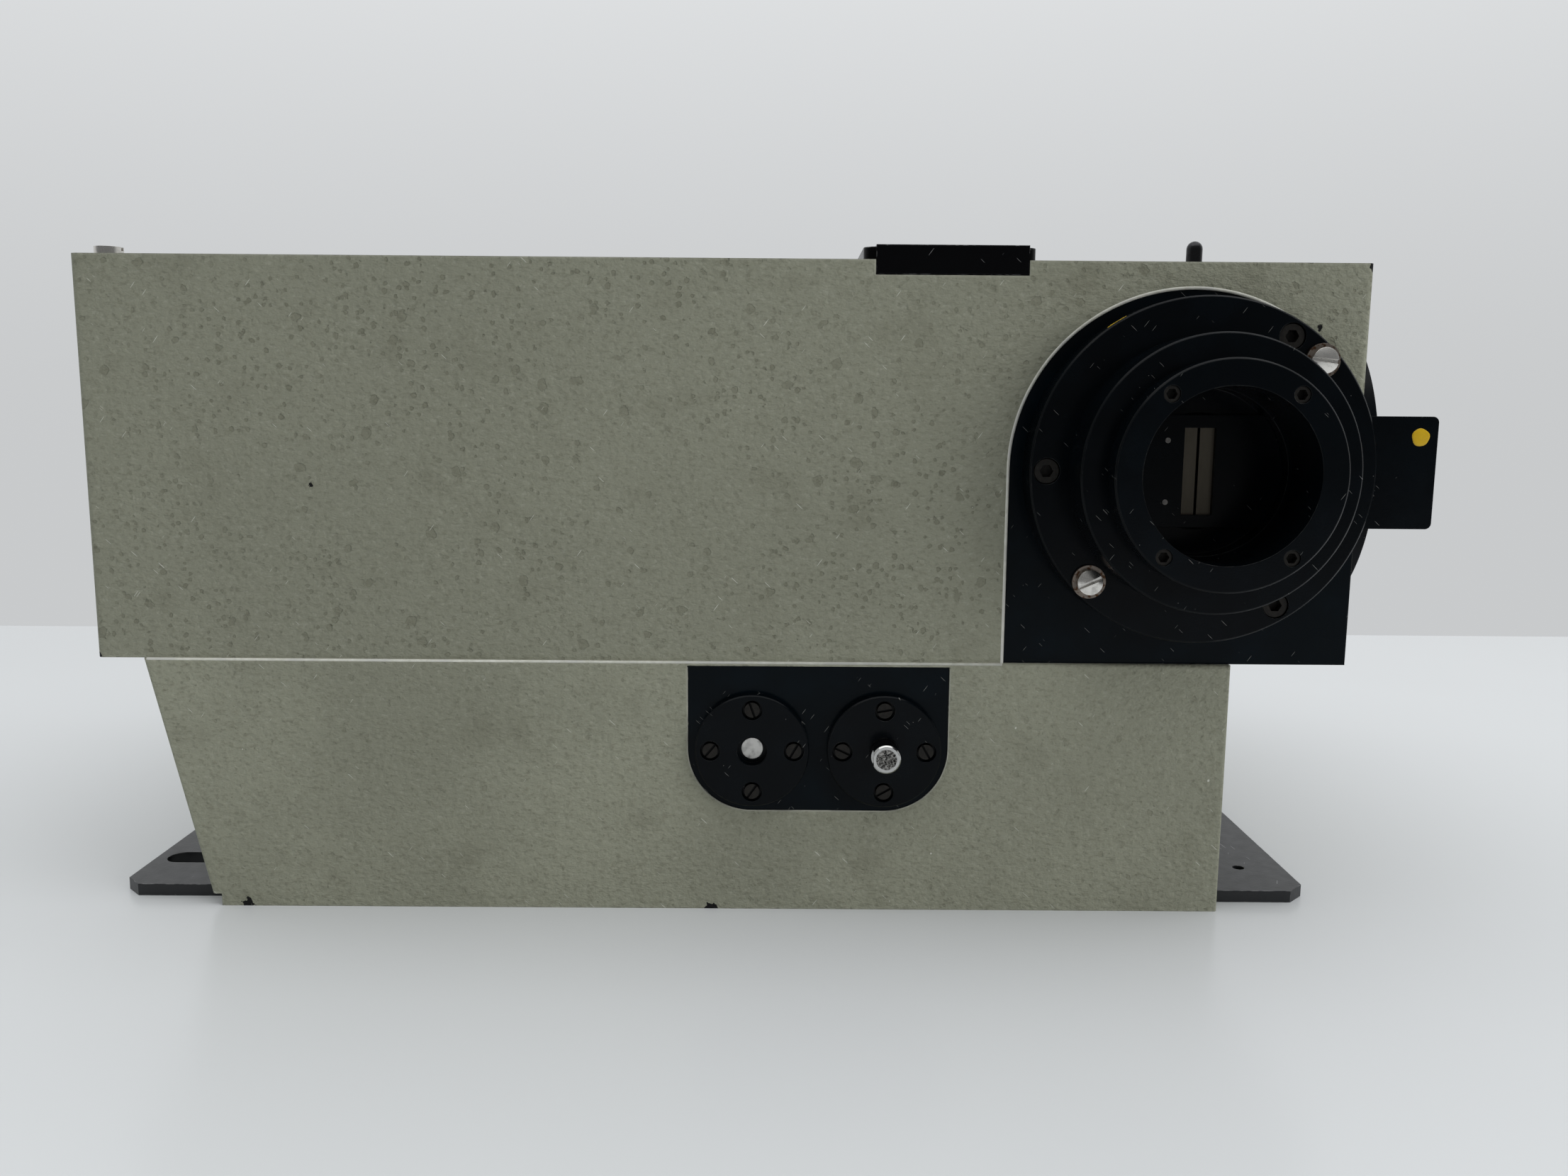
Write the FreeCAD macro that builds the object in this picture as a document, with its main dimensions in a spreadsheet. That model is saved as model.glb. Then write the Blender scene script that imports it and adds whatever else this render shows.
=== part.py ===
import FreeCAD, Part
import math
import os
import re
import Sketcher
from fcgear import fcgear, involute

# Quarter metre grating monochromator, in millimetres.
# +Z is up, +X points to the end with the ports and -Y is the front face.
# The origin is the middle of the drive box's underside.

V = FreeCAD.Vector

SIZES = {
    # casting: an optical box on top of a narrower drive box
    "box_length": 278.0,
    "box_depth": 174.0,
    "box_bottom": 57.2,
    "box_top": 144.6,
    "box_wall": 8.0,
    "floor_thick": 6.0,
    "ledge": 1.0,
    "edge_round": 1.6,
    "ledge_round": 0.8,
    "drive_left_top": -128.3,
    "drive_left_foot": -115.4,
    "drive_right": 112.9,
    "drive_wall": 6.0,
    # base plate
    "plate_left": -139.8,
    "plate_right": 135.9,
    "plate_half_depth": 82.4,
    "plate_thick": 2.8,
    "plate_chamfer": 4.0,
    "plate_gap": 0.2,
    "foot_notch_x": -113.9,
    "foot_slot_width": 7.1,
    "foot_slot_left": -137.0,
    "foot_slot_length": 18.0,
    "foot_slot_offset": 65.0,
    "foot_hole_x": 125.0,
    "foot_hole_offset": 67.5,
    "foot_hole_radius": 1.4,
    "plate_screw_inset": 12.0,
    "plate_screw_radius": 1.5,
    "plate_screw_sunk": 0.2,
    "plate_screw_bite": 7.0,
    "post_middle_x": -45.0,
    "post_radius": 4.0,
    "post_hole_deep": 8.0,
    "post_inset": 14.0,
    # top cover
    "cover_thick": 4.0,
    "cover_lip": 2.0,
    "cover_gap": 0.15,
    "cover_screw_x": 133.9,
    "cover_screw_y": 80.0,
    "cover_screw_right_y": 35.0,
    "cover_screw_head": 2.95,
    "cover_screw_tall": 2.0,
    "cover_screw_shank": 1.35,
    "cover_screw_long": 12.0,
    "cover_screw_hole": 1.6,
    # grating access cover and its key in the front notch
    "notch_width": 32.8,
    "notch_deep": 3.2,
    "key_gap": 0.1,
    "key_deep": 4.0,
    "access_width": 37.4,
    "access_back": 32.0,
    "access_rise": 3.1,
    "access_open_inset": 4.0,
    "access_round": 2.5,
    # ports
    "port_x": 102.1,
    "port_z": 100.3,
    "port_side_offset": 50.1,
    "port_arch": 38.9,
    "port_arch_shift": 1.2,
    "port_recess": 0.8,
    "beam_radius": 14.0,
    "holder_radius": 36.8,
    "holder_front": 7.7,
    "holder_bore": 17.9,
    "holder_back_bore": 12.5,
    "flange_radius": 28.7,
    "flange_front": 19.2,
    "flange_bore": 18.6,
    "ring_radius": 23.4,
    "ring_front": 25.3,
    "ring_bore": 17.9,
    "port_edge": 0.35,
    "set_screw_radius": 1.7,
    "set_screw_circle": 20.65,
    "set_screw_angle": 51.6,
    "set_screw_long": 11.0,
    "set_screw_sunk": 0.4,
    "set_screw_socket": 1.15,
    "set_screw_socket_deep": 2.0,
    "port_screw_circle": 33.2,
    "port_screw_head": 2.6,
    "port_screw_counterbore": 2.8,
    "port_screw_sunk": 3.4,
    "port_screw_shank": 1.45,
    "port_screw_cap": 3.0,
    "port_socket": 1.45,
    "port_socket_deep": 2.0,
    "clamp_head": 2.7,
    "clamp_tall": 1.9,
    "clamp_dome": 0.6,
    "clamp_shank": 1.3,
    "clamp_slot": 0.8,
    "clamp_slot_deep": 1.1,
    "clamp_hole_deep": 7.0,
    "washer_radius": 3.6,
    "washer_thick": 0.8,
    "blank_thick": 3.6,
    "blank_screw_sunk": 3.3,
    "port_screw_long": 8.0,
    # slit plates
    "slit_front": 4.4,
    "slit_thick": 1.2,
    "slit_tall": 24.1,
    "slit_left": -21.0,
    "slit_right": 50.8,
    "slit_corner": 1.3,
    "slit_window_width": 6.7,
    "slit_window_tall": 18.6,
    "slit_width": 0.6,
    "slit_gap": 0.3,
    "blade_thick": 0.3,
    "blade_lap": 1.5,
    "rivet_radius": 0.6,
    "rivet_tall": 0.15,
    "rivet_x": -6.9,
    "rivet_z": 6.6,
    # shutter
    "shutter_y": -80.8,
    "shutter_slot_back": 82.6,
    "shutter_slot_half": 16.5,
    "shutter_travel": 24.0,
    "shutter_thick": 1.0,
    "shutter_foot": 64.0,
    "shutter_head": 113.0,
    "shutter_window": 11.0,
    "pull_rod_radius": 1.7,
    "pull_rod_top": 149.6,
    "guide_plate_thick": 1.5,
    "guide_plate_half": 20.0,
    "guide_plate_above": 18.0,
    "shutter_side_gap": 0.3,
    # optics
    "mirror_radius": 26.0,
    "mirror_thick": 8.0,
    "mirror_x": -106.0,
    "mirror_tilt": 8.5,
    "mirror_hollow": 0.8,
    "focal_length": 250.0,
    "mount_half": 26.0,
    "mount_gap": 3.0,
    "mount_thick": 4.0,
    "adjuster_inset": 6.0,
    "adjuster_head": 2.6,
    "adjuster_tall": 2.0,
    "adjuster_shank": 1.55,
    "cell_thick": 3.0,
    "fold_half_width": 20.0,
    "fold_half_tall": 16.0,
    "fold_thick": 5.0,
    "fold_foot_half": 13.0,
    "fold_foot_long": 10.0,
    "baffle_thick": 2.0,
    "baffle_near_end": -70.0,
    "baffle_far_end": 88.0,
    "spindle_x": 48.9,
    "spindle_radius": 4.0,
    "spindle_barrel": 10.9,
    "spindle_collar": 16.0,
    "spindle_collar_thick": 3.0,
    "bearing_outside": 8.5,
    "bearing_long": 5.0,
    "grating_half": 24.0,
    "grating_thick": 9.5,
    "grating_rest_angle": 17.6,
    "grating_back_thick": 4.0,
    "grating_back_rim": 2.0,
    "grating_toe": 10.0,
    "grating_toe_inset": 6.0,
    "table_radius": 26.0,
    "table_bottom": 68.0,
    "table_top": 73.0,
    # drive
    "drive_z": 37.6,
    "screw_x": 6.6,
    "input_x": 36.0,
    "pad_left": -7.9,
    "pad_right": 50.5,
    "pad_corner": 14.4,
    "pad_deep": 0.3,
    "flange_disc": 12.7,
    "flange_disc_edge": 0.3,
    "flange_disc_thick": 2.7,
    "flange_boss": 7.5,
    "flange_boss_long": 9.0,
    "flange_screw_circle": 9.3,
    "flange_screw_head": 1.7,
    "flange_screw_tall": 1.2,
    "flange_screw_sunk": 1.5,
    "flange_screw_slot": 0.5,
    "flange_screw_long": 6.0,
    "flange_counterbore": 2.25,
    "flange_screw_shank": 0.9,
    "running_gap": 0.05,
    "fit_gap": 0.1,
    "screw_slot": 0.8,
    "input_radius": 3.175,
    "input_tip": 6.2,
    "input_flat_long": 2.4,
    "input_face_gap": 0.15,
    "input_neck": 2.95,
    "input_flat": 0.4,
    "input_bevel": 0.3,
    "input_journal": 4.0,
    "input_end_gap": 0.3,
    "screw_journal": 2.4,
    "screw_seat": 3.5,
    "screw_thread": 5.0,
    "screw_recess": 2.6,
    "screw_collar": 2.0,
    "shaft_end_gap": 1.5,
    "screw_hole": 3.35,
    "gear_module": 0.97,
    "gear_teeth": 30,
    "gear_front": -72.0,
    "gear_width": 6.0,
    "arm_bottom": 43.5,
    "arm_top": 49.5,
    "arm_width": 3.6,
    "arm_roller": 3.0,
    "arm_hub": 9.0,
    "nut_left": -12.4,
    "nut_right": 15.6,
    "nut_half_depth": 11.0,
    "nut_bottom": 29.2,
    "nut_top": 43.0,
    "finger_gap": 0.3,
    "finger_thick": 4.0,
    "finger_left": 2.6,
    "finger_right": 3.9,
    "guide_rod_x": -7.4,
    "guide_rod_radius": 2.5,
    "guide_lug_half": 4.0,
    "guide_lug_front": -62.0,
    "guide_lug_back": -56.0,
    "bush_radius": 7.0,
    "bush_long": 6.0,
}

doc = FreeCAD.newDocument("Monochromator")
sheet = doc.addObject("Spreadsheet::Sheet", "Sizes")
workings = doc.addObject("Spreadsheet::Sheet", "Workings")
sub_parts = []


def fill_sheet():
    for row, (alias, value) in enumerate(SIZES.items(), start=1):
        sheet.set(f"A{row}", alias)
        sheet.set(f"B{row}", str(value))
        sheet.setAlias(f"B{row}", alias)
    doc.recompute()


def on_sheet(text):
    """Put the sheet's name before each size's alias in an expression."""
    return re.sub(r"[a-z_]+", lambda word: ("Sizes." if word[0] in SIZES else "") + word[0], str(text))


def bind(item, target, text):
    item.setExpression(target, on_sheet(text))


def value(text):
    """The number that an expression of sheet sizes comes to."""
    workings.set("A1", "=" + on_sheet(text))
    workings.recompute()
    return float(workings.get("A1"))


def new(kind, name="piece"):
    return doc.addObject(kind, name)


# Part primitives and booleans ---------------------------------------------------------------

NO_TURN = FreeCAD.Rotation()
TURN_TO = {
    "X": FreeCAD.Rotation(V(0, 1, 0), 90),
    "Y": FreeCAD.Rotation(V(1, 0, 0), -90),
    "Z": NO_TURN,
}


def bind_place(item, x, y, z):
    for axis, text in zip("xyz", (x, y, z)):
        bind(item, f"Placement.Base.{axis}", text)


def box(x, y, z):
    """A box from three (low, high) pairs."""
    item = new("Part::Box")
    for side, (low, high) in zip(("Length", "Width", "Height"), (x, y, z)):
        bind(item, side, f"({high}) - ({low})")
    bind_place(item, x[0], y[0], z[0])
    return item


def rod(axis, x, y, z, radius, length):
    """A cylinder that starts at a point and runs up an axis."""
    item = new("Part::Cylinder")
    item.Placement.Rotation = TURN_TO[axis]
    bind(item, "Radius", radius)
    bind(item, "Height", length)
    bind_place(item, x, y, z)
    return item


def hexagon(x, y, z, corner, length):
    """A hexagonal prism that starts at a point and runs up Y."""
    item = new("Part::Prism")
    item.Placement.Rotation = TURN_TO["Y"]
    item.Polygon = 6
    bind(item, "Circumradius", corner)
    bind(item, "Height", length)
    bind_place(item, x, y, z)
    return item


def ball(x, y, z, radius):
    item = new("Part::Sphere")
    bind(item, "Radius", radius)
    bind_place(item, x, y, z)
    return item


def fuse(*shapes):
    item = new("Part::MultiFuse")
    item.Shapes = list(shapes)
    item.Refine = True
    return item


def cut(base, *tools):
    item = new("Part::Cut")
    item.Base = base
    item.Tool = tools[0] if len(tools) == 1 else fuse(*tools)
    return item


def common(*shapes):
    item = new("Part::MultiCommon")
    item.Shapes = list(shapes)
    return item


def group(shapes):
    """Several separate solids that share one node."""
    item = new("Part::Compound")
    item.Links = list(shapes)
    return item


def placed(item, place):
    """Put an item at a place: a rotation and three expressions.

    A plain box or cylinder is wrapped first, because its own placement holds its corner.
    """
    if item.TypeId in ("Part::Box", "Part::Cylinder"):
        item = group([item])
    rotation, spot = place
    item.Placement = FreeCAD.Placement(V(), rotation)
    bind_place(item, *spot)
    return item


def driver_slot(x, top, z, head, wide, deep, angle):
    """A slot across a screw head that faces -Y, raised by an angle from level."""
    slot = box((f"-{head} - 1", f"{head} + 1"), ("-1", deep), (f"-{wide} / 2", f"{wide} / 2"))
    return placed(slot, (FreeCAD.Rotation(V(0, 1, 0), -angle), (x, top, z)))


def sub_part(label, item, place=None):
    """Name an item as a sub-part, at a place of its own or as it stands."""
    if place:
        item = placed(item, place)
    item.Label = label
    sub_parts.append(item)


# PartDesign bodies --------------------------------------------------------------------------

# which way each origin plane's sketch normal points along its row axis
NORMAL_SIGN = {"XY": "", "XZ": "-", "YZ": ""}


def new_body():
    return new("PartDesign::Body", "body")


def sketch(body, plane, level):
    """An empty sketch on one of the body's origin planes, moved to a level on the row axis."""
    item = body.newObject("Sketcher::SketchObject", "sketch")
    plane_item = next(f for f in body.Origin.OriginFeatures if f.Role == plane + "_Plane")
    item.AttachmentSupport = [(plane_item, "")]
    item.MapMode = "FlatFace"
    bind(item, "AttachmentOffset.Base.z", f"{NORMAL_SIGN[plane]}({level})")
    return item


def pin_point(item, geometry, which, corner):
    """Hold a point of the sketch at two sheet sizes."""
    for kind, text in zip(("DistanceX", "DistanceY"), corner):
        index = item.addConstraint(Sketcher.Constraint(kind, -1, 1, geometry, which, value(text)))
        bind(item, f"Constraints[{index}]", text)


def draw_outline(item, corners):
    points = [V(value(across), value(up), 0) for across, up in corners]
    first = item.GeometryCount
    count = len(points)
    for index in range(count):
        item.addGeometry(Part.LineSegment(points[index], points[(index + 1) % count]), False)
    for index in range(count):
        after = first + (index + 1) % count
        item.addConstraint(Sketcher.Constraint("Coincident", first + index, 2, after, 1))
        pin_point(item, first + index, 1, corners[index])


def draw_circle(item, across, up, radius):
    centre = V(value(across), value(up), 0)
    index = item.addGeometry(Part.Circle(centre, V(0, 0, 1), value(radius)), False)
    pin_point(item, index, 3, (across, up))
    size = item.addConstraint(Sketcher.Constraint("Radius", index, value(radius)))
    bind(item, f"Constraints[{size}]", radius)


def rectangle(low_across, high_across, low_up, high_up):
    return [
        (low_across, low_up),
        (high_across, low_up),
        (high_across, high_up),
        (low_across, high_up),
    ]


def shaped(body, kind, plane, level, length, outlines=(), circles=(), reverse=False, both=False):
    """A Pad or a Pocket from closed outlines and circles drawn on one plane."""
    drawing = sketch(body, plane, level)
    for corners in outlines:
        draw_outline(drawing, corners)
    for across, up, radius in circles:
        draw_circle(drawing, across, up, radius)
    feature = body.newObject(f"PartDesign::{kind}", kind.lower())
    feature.Profile = drawing
    feature.Reversed = reverse
    if both:
        feature.SideType = "Symmetric"
    bind(feature, "Length", length)
    return feature


def turned(radius_and_place):
    """A body of revolution about Y from corners of (radius, y)."""
    body = new_body()
    drawing = sketch(body, "XY", "0")
    draw_outline(drawing, radius_and_place)
    feature = body.newObject("PartDesign::Revolution", "turning")
    feature.Profile = drawing
    feature.ReferenceAxis = (drawing, ["V_Axis"])
    feature.Angle = 360
    return body


def round_edges(body, radius, wanted):
    """Fillet the edges of the body's last feature that a test accepts."""
    doc.recompute()
    last = body.Tip
    names = [f"Edge{n}" for n, edge in enumerate(last.Shape.Edges, start=1) if wanted(edge)]
    feature = body.newObject("PartDesign::Fillet", "rounding")
    feature.Base = (last, names)
    bind(feature, "Radius", radius)
    return feature


def is_upright(edge):
    return edge.BoundBox.ZLength > 20 and edge.BoundBox.YLength < 0.01


# Housing ------------------------------------------------------------------------------------

FRONT = "-box_depth / 2"
BACK = "box_depth / 2"
LEFT = "-box_length / 2"
RIGHT = "box_length / 2"
DRIVE_FRONT = "-(box_depth / 2 + ledge)"
FLOOR_TOP = "box_bottom + floor_thick"
COVER_BOTTOM = "box_top - cover_thick"
INNER_FRONT = "-(box_depth / 2 - box_wall)"
DRIVE_INNER = "box_depth / 2 + ledge - drive_wall"
NOTCH_LEFT = "spindle_x - notch_width / 2"
NOTCH_RIGHT = "spindle_x + notch_width / 2"
SHAFTS_X = ("screw_x", "input_x")
# the way each flange screw's slot happens to point, by the screw's place round its disc
FLANGE_SLOT_TURNS = ({0: 60, 90: -70, 180: 50, 270: 55}, {0: -60, 90: 10, 180: -25, 270: 30})
PORT_SCREW_ANGLES = (180, 59, -59)
CLAMP_ANGLES = (45, 225)
CLAMP_SLOT_TURNS = (-7, 25)
PLATE_SCREW_SPOTS = [
    (x, f"{side} * (plate_half_depth - plate_screw_inset)")
    for x in ("foot_notch_x + post_inset", "post_middle_x", "drive_right - post_inset")
    for side in (-1, 1)
]
COVER_SCREW_SPOTS = [
    (f"{end} * cover_screw_x", f"{side} * {offset}")
    for end, offset in ((-1, "cover_screw_y"), (1, "cover_screw_right_y"))
    for side in (-1, 1)
]


def around(centre_across, centre_up, circle, angle):
    """The spot at an angle on a bolt circle."""
    across = f"{centre_across} + {circle} * {math.cos(math.radians(angle)):.6f}"
    up = f"{centre_up} + {circle} * {math.sin(math.radians(angle)):.6f}"
    return across, up


def casting_blocks(body):
    shaped(body, "Pad", "XY", "box_bottom", "box_top - box_bottom",
           [rectangle(LEFT, RIGHT, FRONT, BACK)])
    round_edges(body, "edge_round", is_upright)
    shaped(body, "Pad", "XZ", "0", "box_depth + 2 * ledge",
           [[("drive_left_foot", "0"), ("drive_right", "0"),
             ("drive_right", "box_bottom"), ("drive_left_top", "box_bottom")]], both=True)
    drive_face = value(f"-({DRIVE_FRONT})")

    def is_on_drive_face(edge):
        size = edge.BoundBox
        off_the_foot = size.ZMax > 1
        return off_the_foot and size.YLength < 0.01 and abs(abs(size.YMax) - drive_face) < 0.01

    round_edges(body, "ledge_round", is_on_drive_face)


def casting_hollows(body):
    inner = "box_depth / 2 - box_wall"
    shaped(body, "Pocket", "XY", "box_top", f"box_top - ({FLOOR_TOP})",
           [rectangle(f"{LEFT} + box_wall", f"{RIGHT} - box_wall", f"-({inner})", inner)])
    lip = "box_depth / 2 - cover_lip"
    shaped(body, "Pocket", "XY", "box_top", "cover_thick",
           [rectangle(f"{LEFT} + cover_lip", f"{RIGHT} - cover_lip", f"-({lip})", lip)])
    shaped(body, "Pocket", "XZ", "0", f"2 * ({DRIVE_INNER})",
           [[("drive_left_foot + drive_wall", "-1"), ("drive_right - drive_wall", "-1"),
             ("drive_right - drive_wall", "box_bottom"),
             ("drive_left_top + drive_wall", "box_bottom")]], both=True)
    posts = [(x, y, "post_radius") for x, y in PLATE_SCREW_SPOTS]
    shaped(body, "Pad", "XY", "plate_thick", "box_bottom - plate_thick", circles=posts)
    holes = [(x, y, "plate_screw_radius + fit_gap") for x, y in PLATE_SCREW_SPOTS]
    shaped(body, "Pocket", "XY", "plate_thick", "post_hole_deep", circles=holes, reverse=True)
    lug_low = "drive_z - guide_lug_half"
    shaped(body, "Pad", "XY", lug_low, f"box_bottom - ({lug_low})",
           [rectangle("guide_rod_x - guide_lug_half", "guide_rod_x + guide_lug_half",
                      "guide_lug_front", "guide_lug_back")])
    seat = "plate_half_depth + plate_gap"
    shaped(body, "Pocket", "XY", "plate_thick", "plate_thick + 1",
           [rectangle(LEFT, RIGHT, f"-({seat})", seat)])
    shaped(body, "Pocket", "XY", "plate_thick", "plate_thick + 1",
           [rectangle(LEFT, "foot_notch_x", "-box_depth", "box_depth")])
    shaped(body, "Pocket", "XY", "box_top", "notch_deep",
           [rectangle(NOTCH_LEFT, NOTCH_RIGHT, f"{FRONT} - 1", INNER_FRONT)])


def casting_port_flat(body, level, reverse):
    """The machined flat round a front or rear port: an arch, open below and at the end."""
    middle = "port_x - port_arch_shift"
    shaped(body, "Pocket", "XZ", level, "port_recess",
           circles=[(middle, "port_z", "port_arch")], reverse=reverse)
    shaped(body, "Pocket", "XZ", level, "port_recess",
           [rectangle(f"{middle} - port_arch", "box_length / 2 + 1", "box_bottom", "port_z")],
           reverse=reverse)


def casting_port_holes(body, plane, level, across, spots, reverse):
    """The beam hole and the screw holes of one port."""
    holes = [(across, "port_z", "beam_radius")]
    holes += [(*around(across, "port_z", "port_screw_circle", angle), "port_screw_shank")
              for angle in spots]
    shaped(body, "Pocket", plane, level, "box_wall + 1", circles=holes, reverse=reverse)


def casting_drive_pad(body):
    """The flat on the front that the two shaft bearings screw to."""
    corners = [("pad_left + pad_corner", "drive_z", "pad_corner"),
               ("pad_right - pad_corner", "drive_z", "pad_corner")]
    for circle in corners:
        shaped(body, "Pocket", "XZ", DRIVE_FRONT, "pad_deep", circles=[circle])
    shaped(body, "Pocket", "XZ", DRIVE_FRONT, "pad_deep",
           [rectangle("pad_left", "pad_right", "drive_z", "box_bottom - ledge_round"),
            rectangle("pad_left + pad_corner", "pad_right - pad_corner",
                      "drive_z - pad_corner", "drive_z")])
    holes = [(x, "drive_z", "flange_boss + fit_gap") for x in SHAFTS_X]
    for x in SHAFTS_X:
        for angle in (0, 90, 180, 270):
            spot = around(x, "drive_z", "flange_screw_circle", angle)
            holes.append((*spot, "flange_screw_shank"))
    shaped(body, "Pocket", "XZ", DRIVE_FRONT, "drive_wall + 1", circles=holes)


def main_casting():
    body = new_body()
    casting_blocks(body)
    casting_hollows(body)
    for plane, level, across, flip in (
        ("XZ", FRONT, "port_x", 1),
        ("XZ", BACK, "port_x", -1),
        ("YZ", RIGHT, "-port_side_offset", 1),
        ("YZ", RIGHT, "port_side_offset", 1),
    ):
        reverse = level == BACK
        if plane == "XZ":
            casting_port_flat(body, level, reverse)
        angles = [flip * angle for angle in PORT_SCREW_ANGLES]
        casting_port_holes(body, plane, level, across, angles, reverse)
    casting_drive_pad(body)
    # slot for the shutter on the inside of the front wall, and the spindle's hole in the floor
    shaped(body, "Pocket", "XY", COVER_BOTTOM, f"{COVER_BOTTOM} - ({FLOOR_TOP})",
           [rectangle("port_x - shutter_slot_half", "port_x + shutter_slot_half",
                      "-shutter_slot_back", f"{INNER_FRONT} + 1")])
    shaped(body, "Pocket", "XY", FLOOR_TOP, "floor_thick + 1",
           circles=[("spindle_x", "0", "spindle_barrel + fit_gap")])
    holes = [(x, y, "cover_screw_shank + running_gap") for x, y in COVER_SCREW_SPOTS]
    shaped(body, "Pocket", "XY", COVER_BOTTOM, "cover_screw_long - cover_thick + 1", circles=holes)
    sub_part("main_casting", body)


def base_plate():
    body = new_body()
    left, right, deep = "plate_left", "plate_right", "plate_half_depth"
    corner = "plate_chamfer"
    shaped(body, "Pad", "XY", "0", "plate_thick", [[
        (f"{left} + {corner}", f"-{deep}"), (f"{right} - {corner}", f"-{deep}"),
        (right, f"-{deep} + {corner}"), (right, f"{deep} - {corner}"),
        (f"{right} - {corner}", deep), (f"{left} + {corner}", deep),
        (left, f"{deep} - {corner}"), (left, f"-{deep} + {corner}")]])
    half = "foot_slot_width / 2"
    near = f"foot_slot_left + {half}"
    far = f"foot_slot_left + foot_slot_length - {half}"
    for side in (-1, 1):
        y = f"{side} * foot_slot_offset"
        shaped(body, "Pocket", "XY", "plate_thick", "plate_thick + 1",
               [rectangle(near, far, f"{y} - {half}", f"{y} + {half}")])
        for x in (near, far):
            shaped(body, "Pocket", "XY", "plate_thick", "plate_thick + 1", circles=[(x, y, half)])
    holes = [("foot_hole_x", f"{side} * foot_hole_offset", "foot_hole_radius") for side in (-1, 1)]
    holes += [(x, y, "plate_screw_radius + fit_gap") for x, y in PLATE_SCREW_SPOTS]
    shaped(body, "Pocket", "XY", "plate_thick", "plate_thick + 1", circles=holes)
    sub_part("base_plate", body)


def base_plate_screws():
    """Screws up through the plate into the posts inside the drive box."""
    screws = [rod("Z", x, y, "plate_screw_sunk", "plate_screw_radius", "plate_thick + plate_screw_bite")
              for x, y in PLATE_SCREW_SPOTS]
    sub_part("base_plate_screws", group(screws))


def top_cover():
    body = new_body()
    inset = "(cover_lip + cover_gap)"
    across = f"box_length / 2 - {inset}"
    deep = f"box_depth / 2 - {inset}"
    shaped(body, "Pad", "XY", COVER_BOTTOM, "cover_thick",
           [rectangle(f"-({across})", across, f"-({deep})", deep)])
    open_half = "access_width / 2 - access_open_inset"
    shaped(body, "Pocket", "XY", "box_top", "cover_thick + 1",
           [rectangle(f"spindle_x - ({open_half})", f"spindle_x + {open_half}",
                      f"{INNER_FRONT} + access_open_inset", "access_back - access_open_inset")])
    shaped(body, "Pocket", "XY", "box_top", "notch_deep",
           [rectangle(NOTCH_LEFT, NOTCH_RIGHT, f"-({deep}) - 1", f"{FRONT} + key_deep + key_gap")])
    holes = [(x, y, "cover_screw_hole") for x, y in COVER_SCREW_SPOTS]
    holes.append(("port_x", "shutter_y", "pull_rod_radius + running_gap"))
    shaped(body, "Pocket", "XY", "box_top", "cover_thick + 1", circles=holes)
    sub_part("top_cover", body)


def cover_screws():
    """Cheese head screws with a slot, standing on the cover with their shanks below."""
    screws = []
    head_top = "box_top + cover_screw_tall"
    for x, y in COVER_SCREW_SPOTS:
        head = rod("Z", x, y, "box_top", "cover_screw_head", "cover_screw_tall")
        shank = rod("Z", x, y, "box_top - cover_screw_long", "cover_screw_shank", "cover_screw_long")
        slot = box((f"{x} - cover_screw_head - 1", f"{x} + cover_screw_head + 1"),
                   (f"{y} - screw_slot / 2", f"{y} + screw_slot / 2"),
                   (f"{head_top} - screw_slot", f"{head_top} + 1"))
        screws.append(cut(fuse(head, shank), slot))
    sub_part("cover_screws", group(screws))


def access_cover():
    """The lift-off slab above the grating, with rounded upright corners."""
    body = new_body()
    half = "access_width / 2"
    shaped(body, "Pad", "XY", "box_top", "access_rise",
           [rectangle(f"spindle_x - {half}", f"spindle_x + {half}",
                      f"{FRONT} + key_deep", "access_back")])

    def is_corner(edge):
        return abs(edge.BoundBox.ZLength - value("access_rise")) < 0.01

    round_edges(body, "access_round", is_corner)
    sub_part("access_cover", body)


def access_cover_key():
    """The block that drops into the notch of the front wall."""
    key = box((f"{NOTCH_LEFT} + key_gap", f"{NOTCH_RIGHT} - key_gap"),
              (FRONT, f"{FRONT} + key_deep"),
              ("box_top - notch_deep + key_gap", "box_top + access_rise"))
    sub_part("access_cover_key", key)


# Ports: each is built about its own axis, on the wall's outer face, with -Y outwards ----------

PORT_PLACES = {
    "entrance": (NO_TURN, ("port_x", FRONT, "port_z")),
    "exit": (FreeCAD.Rotation(V(1, 0, 0), 180), ("port_x", BACK, "port_z")),
    "front_side": (FreeCAD.Rotation(V(0, 0, 1), 90), (RIGHT, "-port_side_offset", "port_z")),
    "rear_side": (FreeCAD.Rotation(V(0, 0, 1), 90), (RIGHT, "port_side_offset", "port_z")),
}


OPEN_PORTS = ("entrance", "exit")
BLANK_PORTS = ("front_side", "rear_side")


def pocket_out(body, level, length, **drawn):
    """Cut into a port piece from an outer level, towards the wall."""
    return shaped(body, "Pocket", "XZ", f"-({level})", length, **drawn)


def screw_pattern(radius, circle, angles):
    return [(*around("0", "0", circle, angle), radius) for angle in angles]


def port_cap_screws(front, sunk, long):
    """Three socket head screws, their heads seated in counterbores below a front level."""
    screws = []
    for angle in PORT_SCREW_ANGLES:
        x, z = around("0", "0", "port_screw_circle", angle)
        seat = f"-{front} + {sunk}"
        top = f"{seat} - port_screw_cap"
        head = rod("Y", x, top, z, "port_screw_head", "port_screw_cap")
        shank = rod("Y", x, seat, z, "port_screw_shank - running_gap", long)
        socket = hexagon(x, f"{top} - 1", z, "port_socket", "port_socket_deep + 1")
        screws.append(cut(fuse(head, shank), socket))
    return group(screws)


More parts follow.
